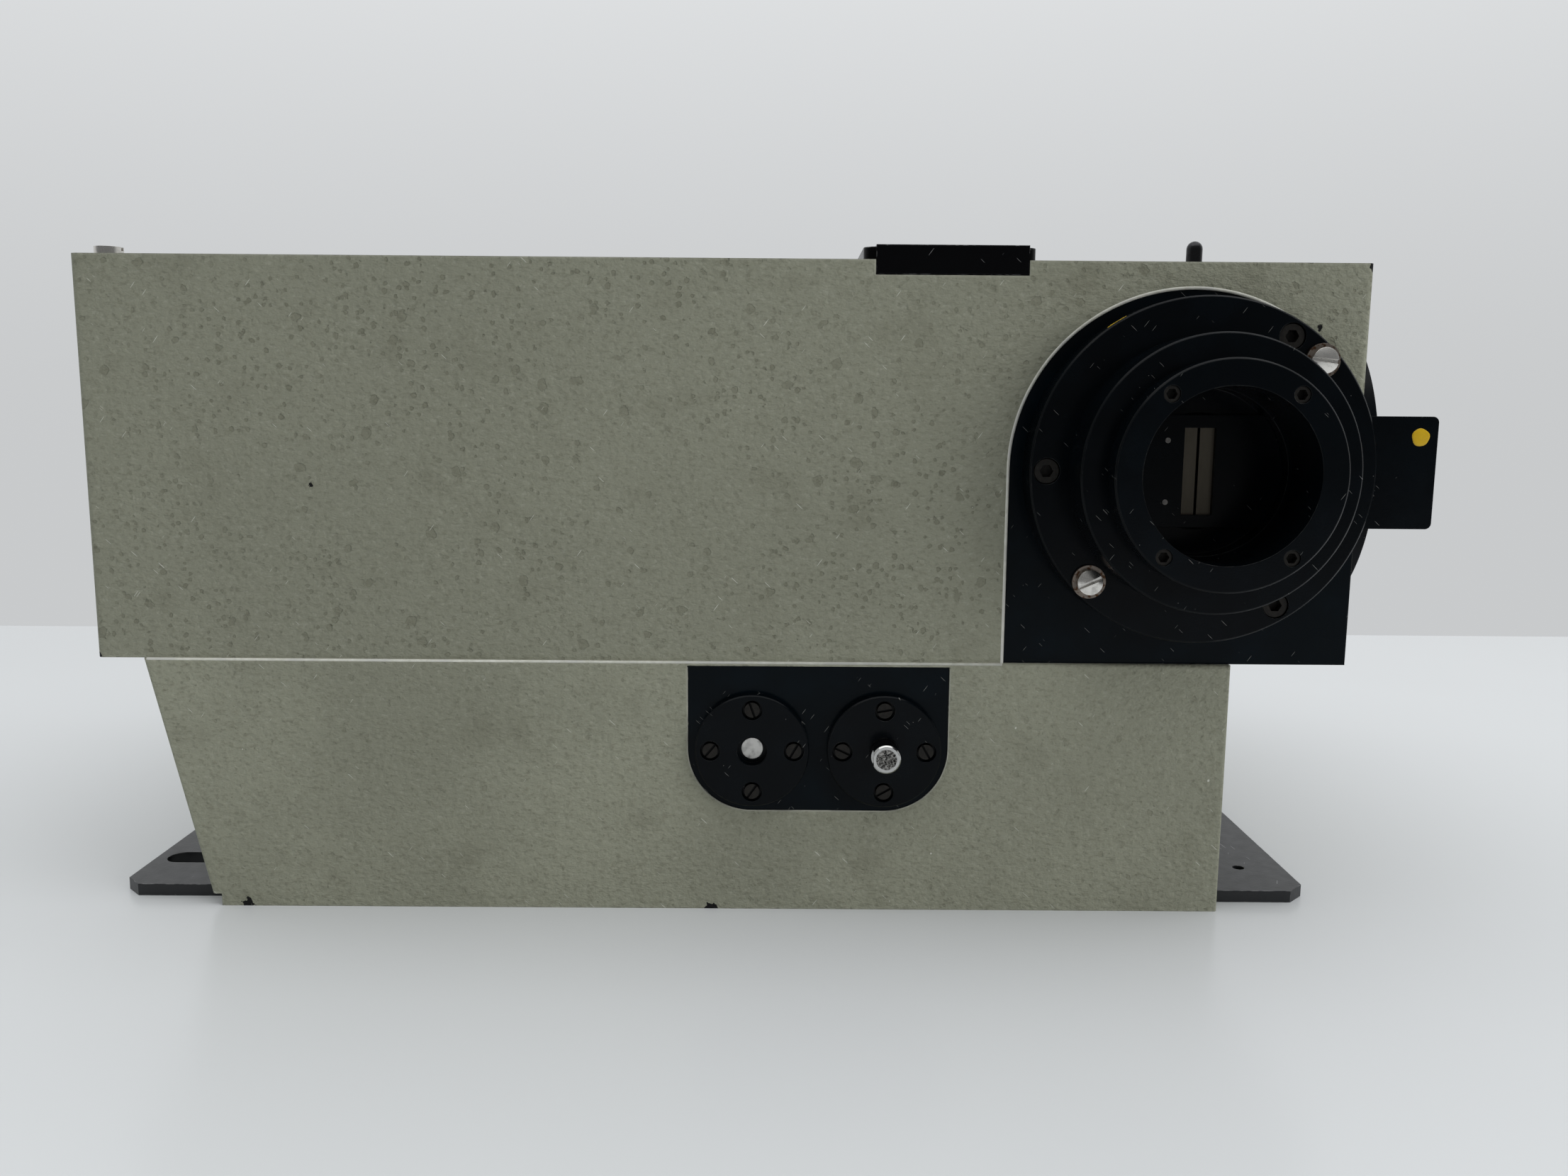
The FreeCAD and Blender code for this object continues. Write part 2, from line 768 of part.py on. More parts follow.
def slit_holder(port):
    thick = "holder_front + port_recess"
    body = turned([("0", "port_recess"), ("holder_radius", "port_recess"),
                   ("holder_radius", "-(holder_front - port_edge)"),
                   ("holder_radius - port_edge", "-holder_front"), ("0", "-holder_front")])
    slot_front = "slit_front + slit_gap"
    slot_back = "slit_front - slit_thick - blade_thick - slit_gap"
    half = "slit_tall / 2 + slit_gap"
    pocket_out(body, "holder_front", f"holder_front - ({slot_back})",
               circles=[("0", "0", "holder_bore")])
    pocket_out(body, "holder_front", thick + " + 1", circles=[("0", "0", "holder_back_bore")])
    pocket_out(body, slot_front, f"{slot_front} - ({slot_back})",
               outlines=[rectangle("slit_left - slit_gap", "holder_radius + 1", f"-({half})", half)])
    pocket_out(body, "holder_front", "port_screw_sunk",
               circles=screw_pattern("port_screw_counterbore", "port_screw_circle", PORT_SCREW_ANGLES))
    pocket_out(body, "holder_front", thick + " + 1",
               circles=screw_pattern("port_screw_shank", "port_screw_circle", PORT_SCREW_ANGLES))
    pocket_out(body, "holder_front", "clamp_hole_deep",
               circles=screw_pattern("clamp_shank + running_gap", "port_screw_circle", CLAMP_ANGLES))
    sub_part(f"{port}_slit_holder", body, PORT_PLACES[port])


def set_screw_angles():
    return [middle + side * value("set_screw_angle") for middle in (0, 180) for side in (-1, 1)]


def flange(port):
    """The male flange that a lamp or a detector slides on to."""
    body = turned([("flange_bore", "-holder_front"), ("flange_radius", "-holder_front"),
                   ("flange_radius", "-(flange_front - port_edge)"),
                   ("flange_radius - port_edge", "-flange_front"),
                   ("flange_bore", "-flange_front")])
    pocket_out(body, "flange_front", "flange_front - holder_front + 1",
               circles=screw_pattern("washer_radius + 1", "port_screw_circle", CLAMP_ANGLES))
    screw_angles = set_screw_angles()
    pocket_out(body, "flange_front", "set_screw_long - (ring_front - flange_front) + 1",
               circles=screw_pattern("set_screw_radius", "set_screw_circle", screw_angles))
    sub_part(f"{port}_flange", body, PORT_PLACES[port])


def flange_ring(port):
    body = turned([("ring_bore", "-flange_front"), ("ring_radius", "-flange_front"),
                   ("ring_radius", "-(ring_front - port_edge)"),
                   ("ring_radius - port_edge", "-ring_front"), ("ring_bore", "-ring_front")])
    screw_angles = set_screw_angles()
    pocket_out(body, "ring_front", "ring_front - flange_front + 1",
               circles=screw_pattern("set_screw_radius", "set_screw_circle", screw_angles))
    sub_part(f"{port}_flange_ring", body, PORT_PLACES[port])


def flange_set_screws(port):
    """The long set screws whose sockets show in the ring's face."""
    screws = []
    for angle in set_screw_angles():
        x, z = around("0", "0", "set_screw_circle", angle)
        stud = rod("Y", x, "-(ring_front - set_screw_sunk)", z, "set_screw_radius - running_gap",
                   "set_screw_long")
        socket = hexagon(x, "-ring_front", z, "set_screw_socket",
                         "set_screw_sunk + set_screw_socket_deep")
        screws.append(cut(stud, socket))
    return placed(group(screws), PORT_PLACES[port])


def clamp_screws(port):
    """Two slotted pan head screws and their washers, as two groups."""
    screws = []
    washers = []
    for angle, turn in zip(CLAMP_ANGLES, CLAMP_SLOT_TURNS):
        x, z = around("0", "0", "port_screw_circle", angle)
        face = "-holder_front"
        washer = rod("Y", x, f"{face} - washer_thick", z, "washer_radius", "washer_thick")
        washers.append(cut(washer, rod("Y", x, f"{face} - washer_thick - 1", z, "clamp_shank + fit_gap",
                                       "washer_thick + 2")))
        seat = f"{face} - washer_thick"
        top = f"{seat} - clamp_tall"
        crown = "(clamp_head ^ 2 + clamp_dome ^ 2) / (2 * clamp_dome)"
        head = common(ball(x, f"{top} + {crown}", z, crown),
                      rod("Y", x, f"{top} - 1", z, "clamp_head", "clamp_tall + 1"))
        shank = rod("Y", x, seat, z, "clamp_shank", "washer_thick + clamp_hole_deep - 1")
        slot = driver_slot(x, top, z, "clamp_head", "clamp_slot", "clamp_slot_deep", turn)
        screws.append(cut(fuse(head, shank), slot))
    return placed(group(screws), PORT_PLACES[port]), placed(group(washers), PORT_PLACES[port])


def slit_plate(port):
    body = new_body()
    half = "slit_tall / 2"
    shaped(body, "Pad", "XZ", "-(slit_front - slit_thick)", "slit_thick",
           [rectangle("slit_left", "slit_right", f"-{half}", half)])

    def is_tab_corner(edge):
        middle = edge.BoundBox.Center
        return middle.x > 40 and edge.BoundBox.YLength > 0.5 and edge.BoundBox.ZLength < 0.01

    round_edges(body, "slit_corner", is_tab_corner)
    across, up = "slit_window_width / 2", "slit_window_tall / 2"
    pocket_out(body, "slit_front", "slit_thick + 1",
               outlines=[rectangle(f"-{across}", across, f"-{up}", up)])
    sub_part(f"{port}_slit_plate", body, PORT_PLACES[port])


def slit_blades(port):
    """Two thin blades behind the window, with the slit between their edges."""
    back = "-(slit_front - slit_thick)"
    blades = []
    for side in (-1, 1):
        near, far = f"{side} * slit_width / 2", f"{side} * (slit_window_width / 2 + blade_lap)"
        across = (far, near) if side < 0 else (near, far)
        blades.append(box(across, (back, f"{back} + blade_thick"),
                          ("-(slit_window_tall / 2 + blade_lap)", "slit_window_tall / 2 + blade_lap")))
    sub_part(f"{port}_slit_blades", group(blades), PORT_PLACES[port])


def slit_rivets(port):
    rivets = [rod("Y", "rivet_x", "-slit_front - rivet_tall", f"{side} * rivet_z", "rivet_radius",
                  "rivet_tall")
              for side in (-1, 1)]
    sub_part(f"{port}_slit_rivets", group(rivets), PORT_PLACES[port])


def open_port(port):
    slit_holder(port)
    flange(port)
    flange_ring(port)
    slit_plate(port)
    slit_blades(port)
    slit_rivets(port)


def port_blank(port):
    body = new_body()
    shaped(body, "Pad", "XZ", "0", "blank_thick", circles=[("0", "0", "holder_radius")])
    pocket_out(body, "blank_thick", "blank_screw_sunk",
               circles=screw_pattern("port_screw_counterbore", "port_screw_circle", PORT_SCREW_ANGLES))
    pocket_out(body, "blank_thick", "blank_thick + 1",
               circles=screw_pattern("port_screw_shank", "port_screw_circle", PORT_SCREW_ANGLES))
    sub_part(f"{port}_port_blank", body, PORT_PLACES[port])


def port_fasteners():
    """Each kind of port fastener is one node, over all the ports that have it."""
    caps = [placed(port_cap_screws("holder_front", "port_screw_sunk", "port_screw_long"),
                   PORT_PLACES[port]) for port in OPEN_PORTS]
    caps += [placed(port_cap_screws("blank_thick", "blank_screw_sunk", "port_screw_long / 2"),
                    PORT_PLACES[port]) for port in BLANK_PORTS]
    sub_part("port_cap_screws", group(caps))
    sub_part("flange_set_screws", group([flange_set_screws(port) for port in OPEN_PORTS]))
    screws, washers = zip(*(clamp_screws(port) for port in OPEN_PORTS))
    sub_part("clamp_screws", group(screws))
    sub_part("clamp_washers", group(washers))


# Shutter --------------------------------------------------------------------------------------

def shutter():
    half = "shutter_slot_half - shutter_side_gap"
    back = "shutter_y + shutter_thick / 2"
    front = "shutter_y - shutter_thick / 2"
    sheet_metal = box((f"port_x - ({half})", f"port_x + {half}"), (front, back),
                      ("shutter_foot", "shutter_head"))
    window = rod("Y", "port_x", f"{front} - 1", "port_z - shutter_travel", "shutter_window",
                 "shutter_thick + 2")
    sub_part("shutter_blade", cut(sheet_metal, window))
    tip = ball("port_x", "shutter_y", "pull_rod_top - pull_rod_radius", "pull_rod_radius")
    stem = rod("Z", "port_x", "shutter_y", "shutter_head", "pull_rod_radius",
               "pull_rod_top - pull_rod_radius - shutter_head")
    sub_part("shutter_pull_rod", fuse(stem, tip))
    plate = box(("port_x - guide_plate_half", "port_x + guide_plate_half"),
                (INNER_FRONT, f"{INNER_FRONT} + guide_plate_thick"),
                (FLOOR_TOP, "port_z + guide_plate_above"))
    sub_part("shutter_guide_plate",
             cut(plate, rod("Y", "port_x", f"{INNER_FRONT} - 1", "port_z", "beam_radius",
                            "guide_plate_thick + 2")))


# Optics: mirrors are built facing +X about their face centre ------------------------------------

def mirror_places():
    for name, side in (("collimating", -1), ("focusing", 1)):
        turn = FreeCAD.Rotation(V(0, 0, 1), -side * value("mirror_tilt"))
        yield name, (turn, ("mirror_x", f"{side} * port_side_offset", "port_z"))


def curved_mirrors():
    """Concave mirrors, each in a cell that three screws tilt against an upright plate."""
    floor = f"{FLOOR_TOP} - port_z"
    half = "mount_half"
    cell_back = "-(mirror_thick + cell_thick)"
    plate_front = f"{cell_back} - mount_gap"
    plate_back = f"{plate_front} - mount_thick"
    spots = [(f"{across} * (mount_half - adjuster_inset)", f"{up} * (mount_half - adjuster_inset)")
             for across, up in ((-1, 1), (1, 1), (0, -1))]
    all_screws = []
    for name, place in mirror_places():
        hollow = ball("2 * focal_length - mirror_hollow", "0", "0", "2 * focal_length")
        glass = cut(rod("X", "-mirror_thick", "0", "0", "mirror_radius", "mirror_thick"), hollow)
        sub_part(f"{name}_mirror", glass, place)
        cell = box((cell_back, "-mirror_thick"), (f"-{half}", half), (f"-{half}", half))
        sub_part(f"{name}_mirror_cell", cell, place)
        upright = box((plate_back, plate_front), (f"-{half}", half), (floor, half))
        foot = box((plate_front, "-1"), (f"-{half}", half), (floor, f"{floor} + mount_thick"))
        holes = [rod("X", f"{plate_back} - 1", y, z, "adjuster_shank + running_gap", "mount_thick + 2")
                 for y, z in spots]
        sub_part(f"{name}_mirror_mount", cut(fuse(upright, foot), *holes), place)
        screws = [fuse(rod("X", f"{plate_back} - adjuster_tall", y, z, "adjuster_head", "adjuster_tall"),
                       rod("X", plate_back, y, z, "adjuster_shank", "mount_thick + mount_gap"))
                  for y, z in spots]
        all_screws.append(placed(group(screws), place))
    sub_part("mirror_adjusting_screws", group(all_screws))


def fold_mirrors():
    """Flat mirrors at 45 degrees, built facing -Y."""
    wide, tall = "fold_half_width", "fold_half_tall"
    floor = f"{FLOOR_TOP} - port_z"
    plate_back = "fold_thick + mount_thick"
    for port, side, turn in (("entrance", -1, -45), ("exit", 1, -135)):
        place = (FreeCAD.Rotation(V(0, 0, 1), turn),
                 ("port_x", f"{side} * port_side_offset", "port_z"))
        glass = box((f"-{wide}", wide), ("0", "fold_thick"), (f"-{tall}", tall))
        sub_part(f"{port}_fold_mirror", glass, place)
        back = box((f"-{wide}", wide), ("fold_thick", plate_back), (floor, tall))
        foot = box(("-fold_foot_half", "fold_foot_half"), (plate_back, f"{plate_back} + fold_foot_long"),
                   (floor, f"{floor} + mount_thick"))
        sub_part(f"{port}_fold_mount", fuse(back, foot), place)


def baffles():
    """Blackened walls that keep the two beams apart."""
    top = f"{COVER_BOTTOM} - 1"
    half = "baffle_thick / 2"
    near = box((f"{LEFT} + box_wall", "baffle_near_end"), (f"-{half}", half), (FLOOR_TOP, top))
    far = box(("baffle_far_end", f"{RIGHT} - box_wall"), (f"-{half}", half), (FLOOR_TOP, top))
    sub_part("baffles", group([near, far]))


# Grating table ---------------------------------------------------------------------------------

def grating_table():
    turn = (FreeCAD.Rotation(V(0, 0, 1), value("grating_rest_angle")), ("spindle_x", "0", "0"))
    half = "grating_half"
    low, high = f"port_z - {half}", f"port_z + {half}"
    sub_part("grating", box(("0", "grating_thick"), (f"-{half}", half), (low, high)), turn)
    back = box(("grating_thick", "grating_thick + grating_back_thick"),
               (f"-({half} + grating_back_rim)", f"{half} + grating_back_rim"), ("table_top", high))
    foot = box(("-grating_toe", "grating_thick"),
               (f"-({half} - grating_toe_inset)", f"{half} - grating_toe_inset"), ("table_top", low))
    sub_part("grating_holder", fuse(back, foot), turn)
    table = rod("Z", "0", "0", "table_bottom", "table_radius", "table_top - table_bottom")
    sub_part("grating_table", table, turn)
    spindle = rod("Z", "spindle_x", "0", "arm_bottom", "spindle_radius", "table_bottom - arm_bottom")
    sub_part("grating_spindle", spindle)


def spindle_bearings():
    """The collared barrel in the floor and the two ball bearings it holds."""
    foot = "arm_top + 0.7"
    barrel = fuse(rod("Z", "spindle_x", "0", FLOOR_TOP, "spindle_collar", "spindle_collar_thick"),
                  rod("Z", "spindle_x", "0", foot, "spindle_barrel", f"{FLOOR_TOP} - ({foot})"))
    bore = rod("Z", "spindle_x", "0", "arm_top", "bearing_outside", "table_bottom - arm_top")
    sub_part("spindle_housing", cut(barrel, bore))
    races = []
    for bottom in (foot, f"{FLOOR_TOP} + spindle_collar_thick - bearing_long"):
        ring = rod("Z", "spindle_x", "0", bottom, "bearing_outside", "bearing_long")
        hole = rod("Z", "spindle_x", "0", bottom, "spindle_radius + running_gap", "bearing_long")
        races.append(cut(ring, hole))
    sub_part("spindle_bearings", group(races))


def return_spring():
    """A torsion spring round the bearing housing that keeps the arm on the nut."""
    wire = 0.6
    turns = 3
    pitch = 1.6
    coil_radius = 13.0
    path = Part.makeHelix(pitch, pitch * turns, coil_radius)
    start = path.Edges[0].valueAt(path.Edges[0].FirstParameter)
    section = Part.Wire(Part.makeCircle(wire, start, V(0, 1, 0)))
    spring = new("Part::Feature")
    spring.Shape = Part.Wire(path.Edges).makePipeShell([section], True, True)
    sub_part("return_spring", spring,
             (NO_TURN, ("spindle_x", "0", f"box_bottom - {wire} - {pitch * turns}")))


def sine_arm():
    hub = rod("Z", "spindle_x", "0", "arm_bottom", "arm_hub", "arm_top - arm_bottom")
    bar = box(("screw_x", "spindle_x"), ("-arm_width / 2", "arm_width / 2"), ("arm_bottom + 2", "arm_top"))
    bore = rod("Z", "spindle_x", "0", "arm_bottom", "spindle_radius", "arm_top - arm_bottom")
    seat = rod("Z", "screw_x", "0", "arm_bottom", "arm_roller", "arm_top - arm_bottom")
    sub_part("sine_arm", cut(fuse(hub, bar), bore, seat))
    sub_part("arm_roller", rod("Z", "screw_x", "0", "arm_bottom", "arm_roller", "arm_top - arm_bottom"))


# Lead screw drive ------------------------------------------------------------------------------

PAD_FACE = f"({DRIVE_FRONT} + pad_deep)"
FLANGE_FACE = f"({DRIVE_FRONT} + pad_deep - flange_disc_thick)"
REAR_WALL = f"({DRIVE_INNER})"


def bearing_flange(label, x, bore, recess):
    """A black disc with a boss through the wall, bored for one shaft."""
    body = turned([("0", FLANGE_FACE), ("flange_disc - flange_disc_edge", FLANGE_FACE),
                   ("flange_disc", f"{FLANGE_FACE} + flange_disc_edge"), ("flange_disc", PAD_FACE),
                   ("flange_boss", PAD_FACE), ("flange_boss", f"{PAD_FACE} + flange_boss_long"),
                   ("0", f"{PAD_FACE} + flange_boss_long")])
    shaped(body, "Pocket", "XZ", FLANGE_FACE, "flange_disc_thick + flange_boss_long + 1",
           circles=[("0", "0", bore)])
    if recess:
        shaped(body, "Pocket", "XZ", FLANGE_FACE, "flange_disc_thick", circles=[("0", "0", recess)])
    pattern = (0, 90, 180, 270)
    shaped(body, "Pocket", "XZ", FLANGE_FACE, "flange_screw_sunk",
           circles=screw_pattern("flange_counterbore", "flange_screw_circle", pattern))
    shaped(body, "Pocket", "XZ", FLANGE_FACE, "flange_disc_thick + 1",
           circles=screw_pattern("flange_screw_shank + running_gap", "flange_screw_circle", pattern))
    sub_part(label, body, (NO_TURN, (x, "0", "drive_z")))


def bearing_flanges():
    bearing_flange("lead_screw_flange", "screw_x", "screw_journal + running_gap", "screw_hole")
    bearing_flange("input_shaft_flange", "input_x", "input_radius + running_gap", None)
    screws = []
    seat = f"{FLANGE_FACE} + flange_screw_sunk"
    top = f"{seat} - flange_screw_tall"
    for shaft_x, turns in zip(SHAFTS_X, FLANGE_SLOT_TURNS):
        for angle, turn in turns.items():
            x, z = around(shaft_x, "drive_z", "flange_screw_circle", angle)
            head = rod("Y", x, top, z, "flange_screw_head", "flange_screw_tall")
            shank = rod("Y", x, seat, z, "flange_screw_shank - running_gap", "flange_screw_long")
            slot = driver_slot(x, top, z, "flange_screw_head", "flange_screw_slot", "flange_screw_slot", turn)
            screws.append(cut(fuse(head, shank), slot))
    sub_part("bearing_flange_screws", group(screws))


def rear_bushes():
    bushes = []
    for x, journal in (("screw_x", "screw_journal"), ("input_x", "input_journal")):
        outside = rod("Y", x, f"{REAR_WALL} - bush_long", "drive_z", "bush_radius", "bush_long")
        inside = rod("Y", x, f"{REAR_WALL} - bush_long - 1", "drive_z", f"{journal} + running_gap",
                     "bush_long")
        bushes.append(cut(outside, inside))
    sub_part("rear_bushes", group(bushes))


def lead_screw():
    """The screw, with a seat for its gear and a journal at each end."""
    front = f"{FLANGE_FACE} + screw_recess"
    seat_front = "gear_front - screw_collar"
    seat_back = "gear_front + gear_width + screw_collar"
    thread_back = f"{REAR_WALL} - bush_long - screw_collar"
    back = f"{REAR_WALL} - shaft_end_gap"
    body = turned([("0", front), ("screw_journal", front), ("screw_journal", seat_front),
                   ("screw_seat", seat_front), ("screw_seat", seat_back),
                   ("screw_thread", seat_back), ("screw_thread", thread_back),
                   ("screw_journal", thread_back), ("screw_journal", back), ("0", back)])
    sub_part("lead_screw", body, (NO_TURN, ("screw_x", "0", "drive_z")))


def input_shaft():
    """The driven shaft: a short flat at its tip, a relieved neck in the disc, a journal inside."""
    tip = f"({FLANGE_FACE} - input_tip)"
    face = f"({FLANGE_FACE} - input_face_gap)"
    step = f"({PAD_FACE} + flange_boss_long + input_end_gap)"
    back = f"{REAR_WALL} - shaft_end_gap"
    body = turned([("0", tip), ("input_radius - input_bevel", tip),
                   ("input_radius", f"{tip} + input_bevel"), ("input_radius", face), ("input_neck", face),
                   ("input_neck", step), ("input_journal", step), ("input_journal", back),
                   ("0", back)])
    shaped(body, "Pocket", "XZ", tip, "input_flat_long",
           [rectangle("-(input_radius + 1)", "-(input_radius - input_flat)",
                      "-(input_radius + 1)", "input_radius + 1")])
    sub_part("input_shaft", body, (NO_TURN, ("input_x", "0", "drive_z")))


def spur_gear(label, x, bore, half_tooth_turn):
    """An involute gear about Y; the half-tooth turn puts a gap where the other has a tooth."""
    teeth = int(value("gear_teeth"))
    builder = fcgear.FCWireBuilder()
    involute.CreateExternalGear(builder, value("gear_module"), teeth, 20.0, split=True)
    outline = Part.Wire([edge.toShape() for edge in builder.wire])
    disc = Part.Face(outline).extrude(V(0, 0, value("gear_width")))
    disc = disc.cut(Part.makeCylinder(value(bore), value("gear_width")))
    gear = new("Part::Feature")
    gear.Shape = disc
    turn = FreeCAD.Rotation(V(0, 0, 1), 180 / teeth if half_tooth_turn else 0)
    sub_part(label, gear, (TURN_TO["Y"] * turn, (x, "gear_front", "drive_z")))


def drive_nut():
    body = new_body()
    left, right = "nut_left", "nut_right"
    shaped(body, "Pad", "XZ", "0", "2 * nut_half_depth",
           [rectangle(left, right, "nut_bottom", "nut_top")], both=True)
    face = "-(arm_roller + finger_gap)"
    shaped(body, "Pad", "XY", "nut_top", "arm_top - nut_top",
           [rectangle("screw_x - finger_left", "screw_x + finger_right",
                      f"{face} - finger_thick", face)])
    shaped(body, "Pocket", "XZ", "-nut_half_depth - 1", "2 * nut_half_depth + 2",
           circles=[("screw_x", "drive_z", "screw_thread + running_gap"),
                    ("guide_rod_x", "drive_z", "guide_rod_radius + running_gap")])
    sub_part("drive_nut", body)


def guide_rod():
    """A round rail from the casting's lug to the rear wall, which stops the nut turning."""
    sub_part("nut_guide_rod", rod("Y", "guide_rod_x", "guide_lug_back", "drive_z", "guide_rod_radius",
                                  f"{REAR_WALL} - guide_lug_back"))


# Build, check and write -------------------------------------------------------------------------

def build_all():
    fill_sheet()
    main_casting()
    base_plate()
    base_plate_screws()
    top_cover()
    cover_screws()
    access_cover()
    access_cover_key()
    for port in OPEN_PORTS:
        open_port(port)
    for port in BLANK_PORTS:
        port_blank(port)
    port_fasteners()
    shutter()
    curved_mirrors()
    fold_mirrors()
    baffles()
    grating_table()
    spindle_bearings()
    return_spring()
    sine_arm()
    bearing_flanges()
    rear_bushes()
    lead_screw()
    input_shaft()
    spur_gear("lead_screw_gear", "screw_x", "screw_seat", False)
    spur_gear("input_gear", "input_x", "input_journal", True)
    drive_nut()
    guide_rod()
    doc.recompute()


def check_all():
    """Stop on any failed object, bad shape or cut that removed nothing."""
    for item in doc.Objects:
        if any(word in item.State for word in ("Invalid", "Error")):
            raise RuntimeError(f"{item.Name} ({item.Label}) failed: {item.State}")
        if item.TypeId in ("PartDesign::Pocket", "PartDesign::Groove"):
            removed = item.BaseFeature.Shape.Volume - item.Shape.Volume
            if removed < 0.001:
                raise RuntimeError(f"{item.Name} in {item.getParentGeoFeatureGroup().Label} cuts nothing")
    for item in sub_parts:
        if item.Shape.isNull() or not item.Shape.isValid():
            raise RuntimeError(f"{item.Label} has a bad shape")


def write_all():
    os.makedirs("parts", exist_ok=True)
    for item in sub_parts:
        item.Shape.exportStep(f"parts/{item.Label}.step")


build_all()
check_all()
write_all()
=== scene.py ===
import bpy
import math
from mathutils import Matrix, Vector


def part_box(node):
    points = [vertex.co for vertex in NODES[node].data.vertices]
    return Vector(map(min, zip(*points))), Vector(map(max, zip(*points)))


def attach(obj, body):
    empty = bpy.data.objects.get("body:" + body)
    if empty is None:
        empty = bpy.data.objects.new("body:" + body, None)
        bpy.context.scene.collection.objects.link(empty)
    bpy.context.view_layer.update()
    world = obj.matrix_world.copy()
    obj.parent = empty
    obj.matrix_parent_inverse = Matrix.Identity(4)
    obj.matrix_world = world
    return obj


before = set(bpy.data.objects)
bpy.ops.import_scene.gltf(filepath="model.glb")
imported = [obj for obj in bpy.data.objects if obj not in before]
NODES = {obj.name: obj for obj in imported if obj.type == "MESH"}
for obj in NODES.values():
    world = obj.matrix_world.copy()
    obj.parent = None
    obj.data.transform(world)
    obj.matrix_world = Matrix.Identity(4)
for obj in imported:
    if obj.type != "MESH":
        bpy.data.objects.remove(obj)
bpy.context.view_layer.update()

MM = 0.001
TAU = 2 * math.pi


def middle(node):
    low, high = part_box(node)
    return (low + high) / 2


# Places taken from the frame -----------------------------------------------------------------

PORT = middle("entrance_flange")
PORT_X, PORT_Z = PORT.x, PORT.z
HOLDER_LOW, HOLDER_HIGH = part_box("entrance_slit_holder")
HOLDER_RADIUS = (HOLDER_HIGH.x - HOLDER_LOW.x) / 2
HOLDER_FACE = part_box("entrance_flange")[1].y
WALL_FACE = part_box("access_cover_key")[0].y
CASTING_LOW, CASTING_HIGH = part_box("main_casting")
DRIVE_FACE = CASTING_LOW.y
INPUT_X = middle("input_shaft_flange").x
DRIVE_Z = middle("input_shaft_flange").z

# Edges of the recesses and the ledge on the front
ARCH_RADIUS = 38.9 * MM
ARCH_X = PORT_X - 1.2 * MM
ARCH_BLACK_LEFT = PORT_X - 40.4 * MM
ARCH_BLACK_LOW = 50.0 * MM
LEDGE_Z = 57.2 * MM
LEDGE_LEFT = -127.6 * MM
PAD_LEFT, PAD_RIGHT, PAD_CORNER = -7.9 * MM, 50.5 * MM, 14.4 * MM
PAD_BLACK_LEFT, PAD_BLACK_RIGHT, PAD_BLACK_LOW = -7.8 * MM, 50.4 * MM, 23.0 * MM
PAINT_EDGE = 0.1 * MM
ARCH_FLAT_DEPTH = abs(WALL_FACE) - 0.8 * MM
PAD_FLAT_DEPTH = abs(DRIVE_FACE) - 0.3 * MM
FLAT_SLACK = 0.05 * MM

# Chips in the paint: x and z in metres, radius in mm
CHIPPED_SPOTS = (
    (CASTING_HIGH.x, CASTING_HIGH.z - 0.6 * MM, 1.4),
    (-89.8 * MM, 95.8 * MM, 0.5),
    (CASTING_LOW.x, 57.0 * MM, 1.2),
    (-108.0 * MM, 0.2 * MM, 1.5),
    (-2.5 * MM, 0.0, 1.3))

# Colours and light
PAINT = (0.282, 0.288, 0.222)
PAINT_DARK = (0.190, 0.190, 0.140)
# Pale paint colour used for painted highlights: rounded edges, edge beads and the pale grain specks
PAINT_PALE_HIGHLIGHT = (0.47, 0.47, 0.39)
PAINT_PALE_MARK = (0.78, 0.78, 0.72)
PAINT_CHIP = (0.012, 0.012, 0.012)
# The drive box below the ledge is painted lighter than the upper box: painted light of the bounce from the
# table
DRIVE_BOX_PAINTED_LIGHT = 1.14
PAINT_SHINE = 0.09
BLACK_METAL = (0.0010, 0.0019, 0.0028)
MACHINED_BLACK = (0.0008, 0.0026, 0.0042)
# Pale bare metal for scratches and specks, and for edges, where it is partly a painted highlight
BARE_METAL_AND_EDGE_HIGHLIGHT = (0.21, 0.21, 0.20)
BLACK_SHINE = 0.10
FRONT_ROOM = 0.28
CEILING_WATTS = 7.5
FILL_WATTS = 7.5
TABLE_HALF_WIDTH = 3.0
TABLE_FRONT = -0.9
TABLE_BACK = 0.27
TABLE_WHITE = (0.69, 0.705, 0.715)


# Materials -------------------------------------------------------------------------------------

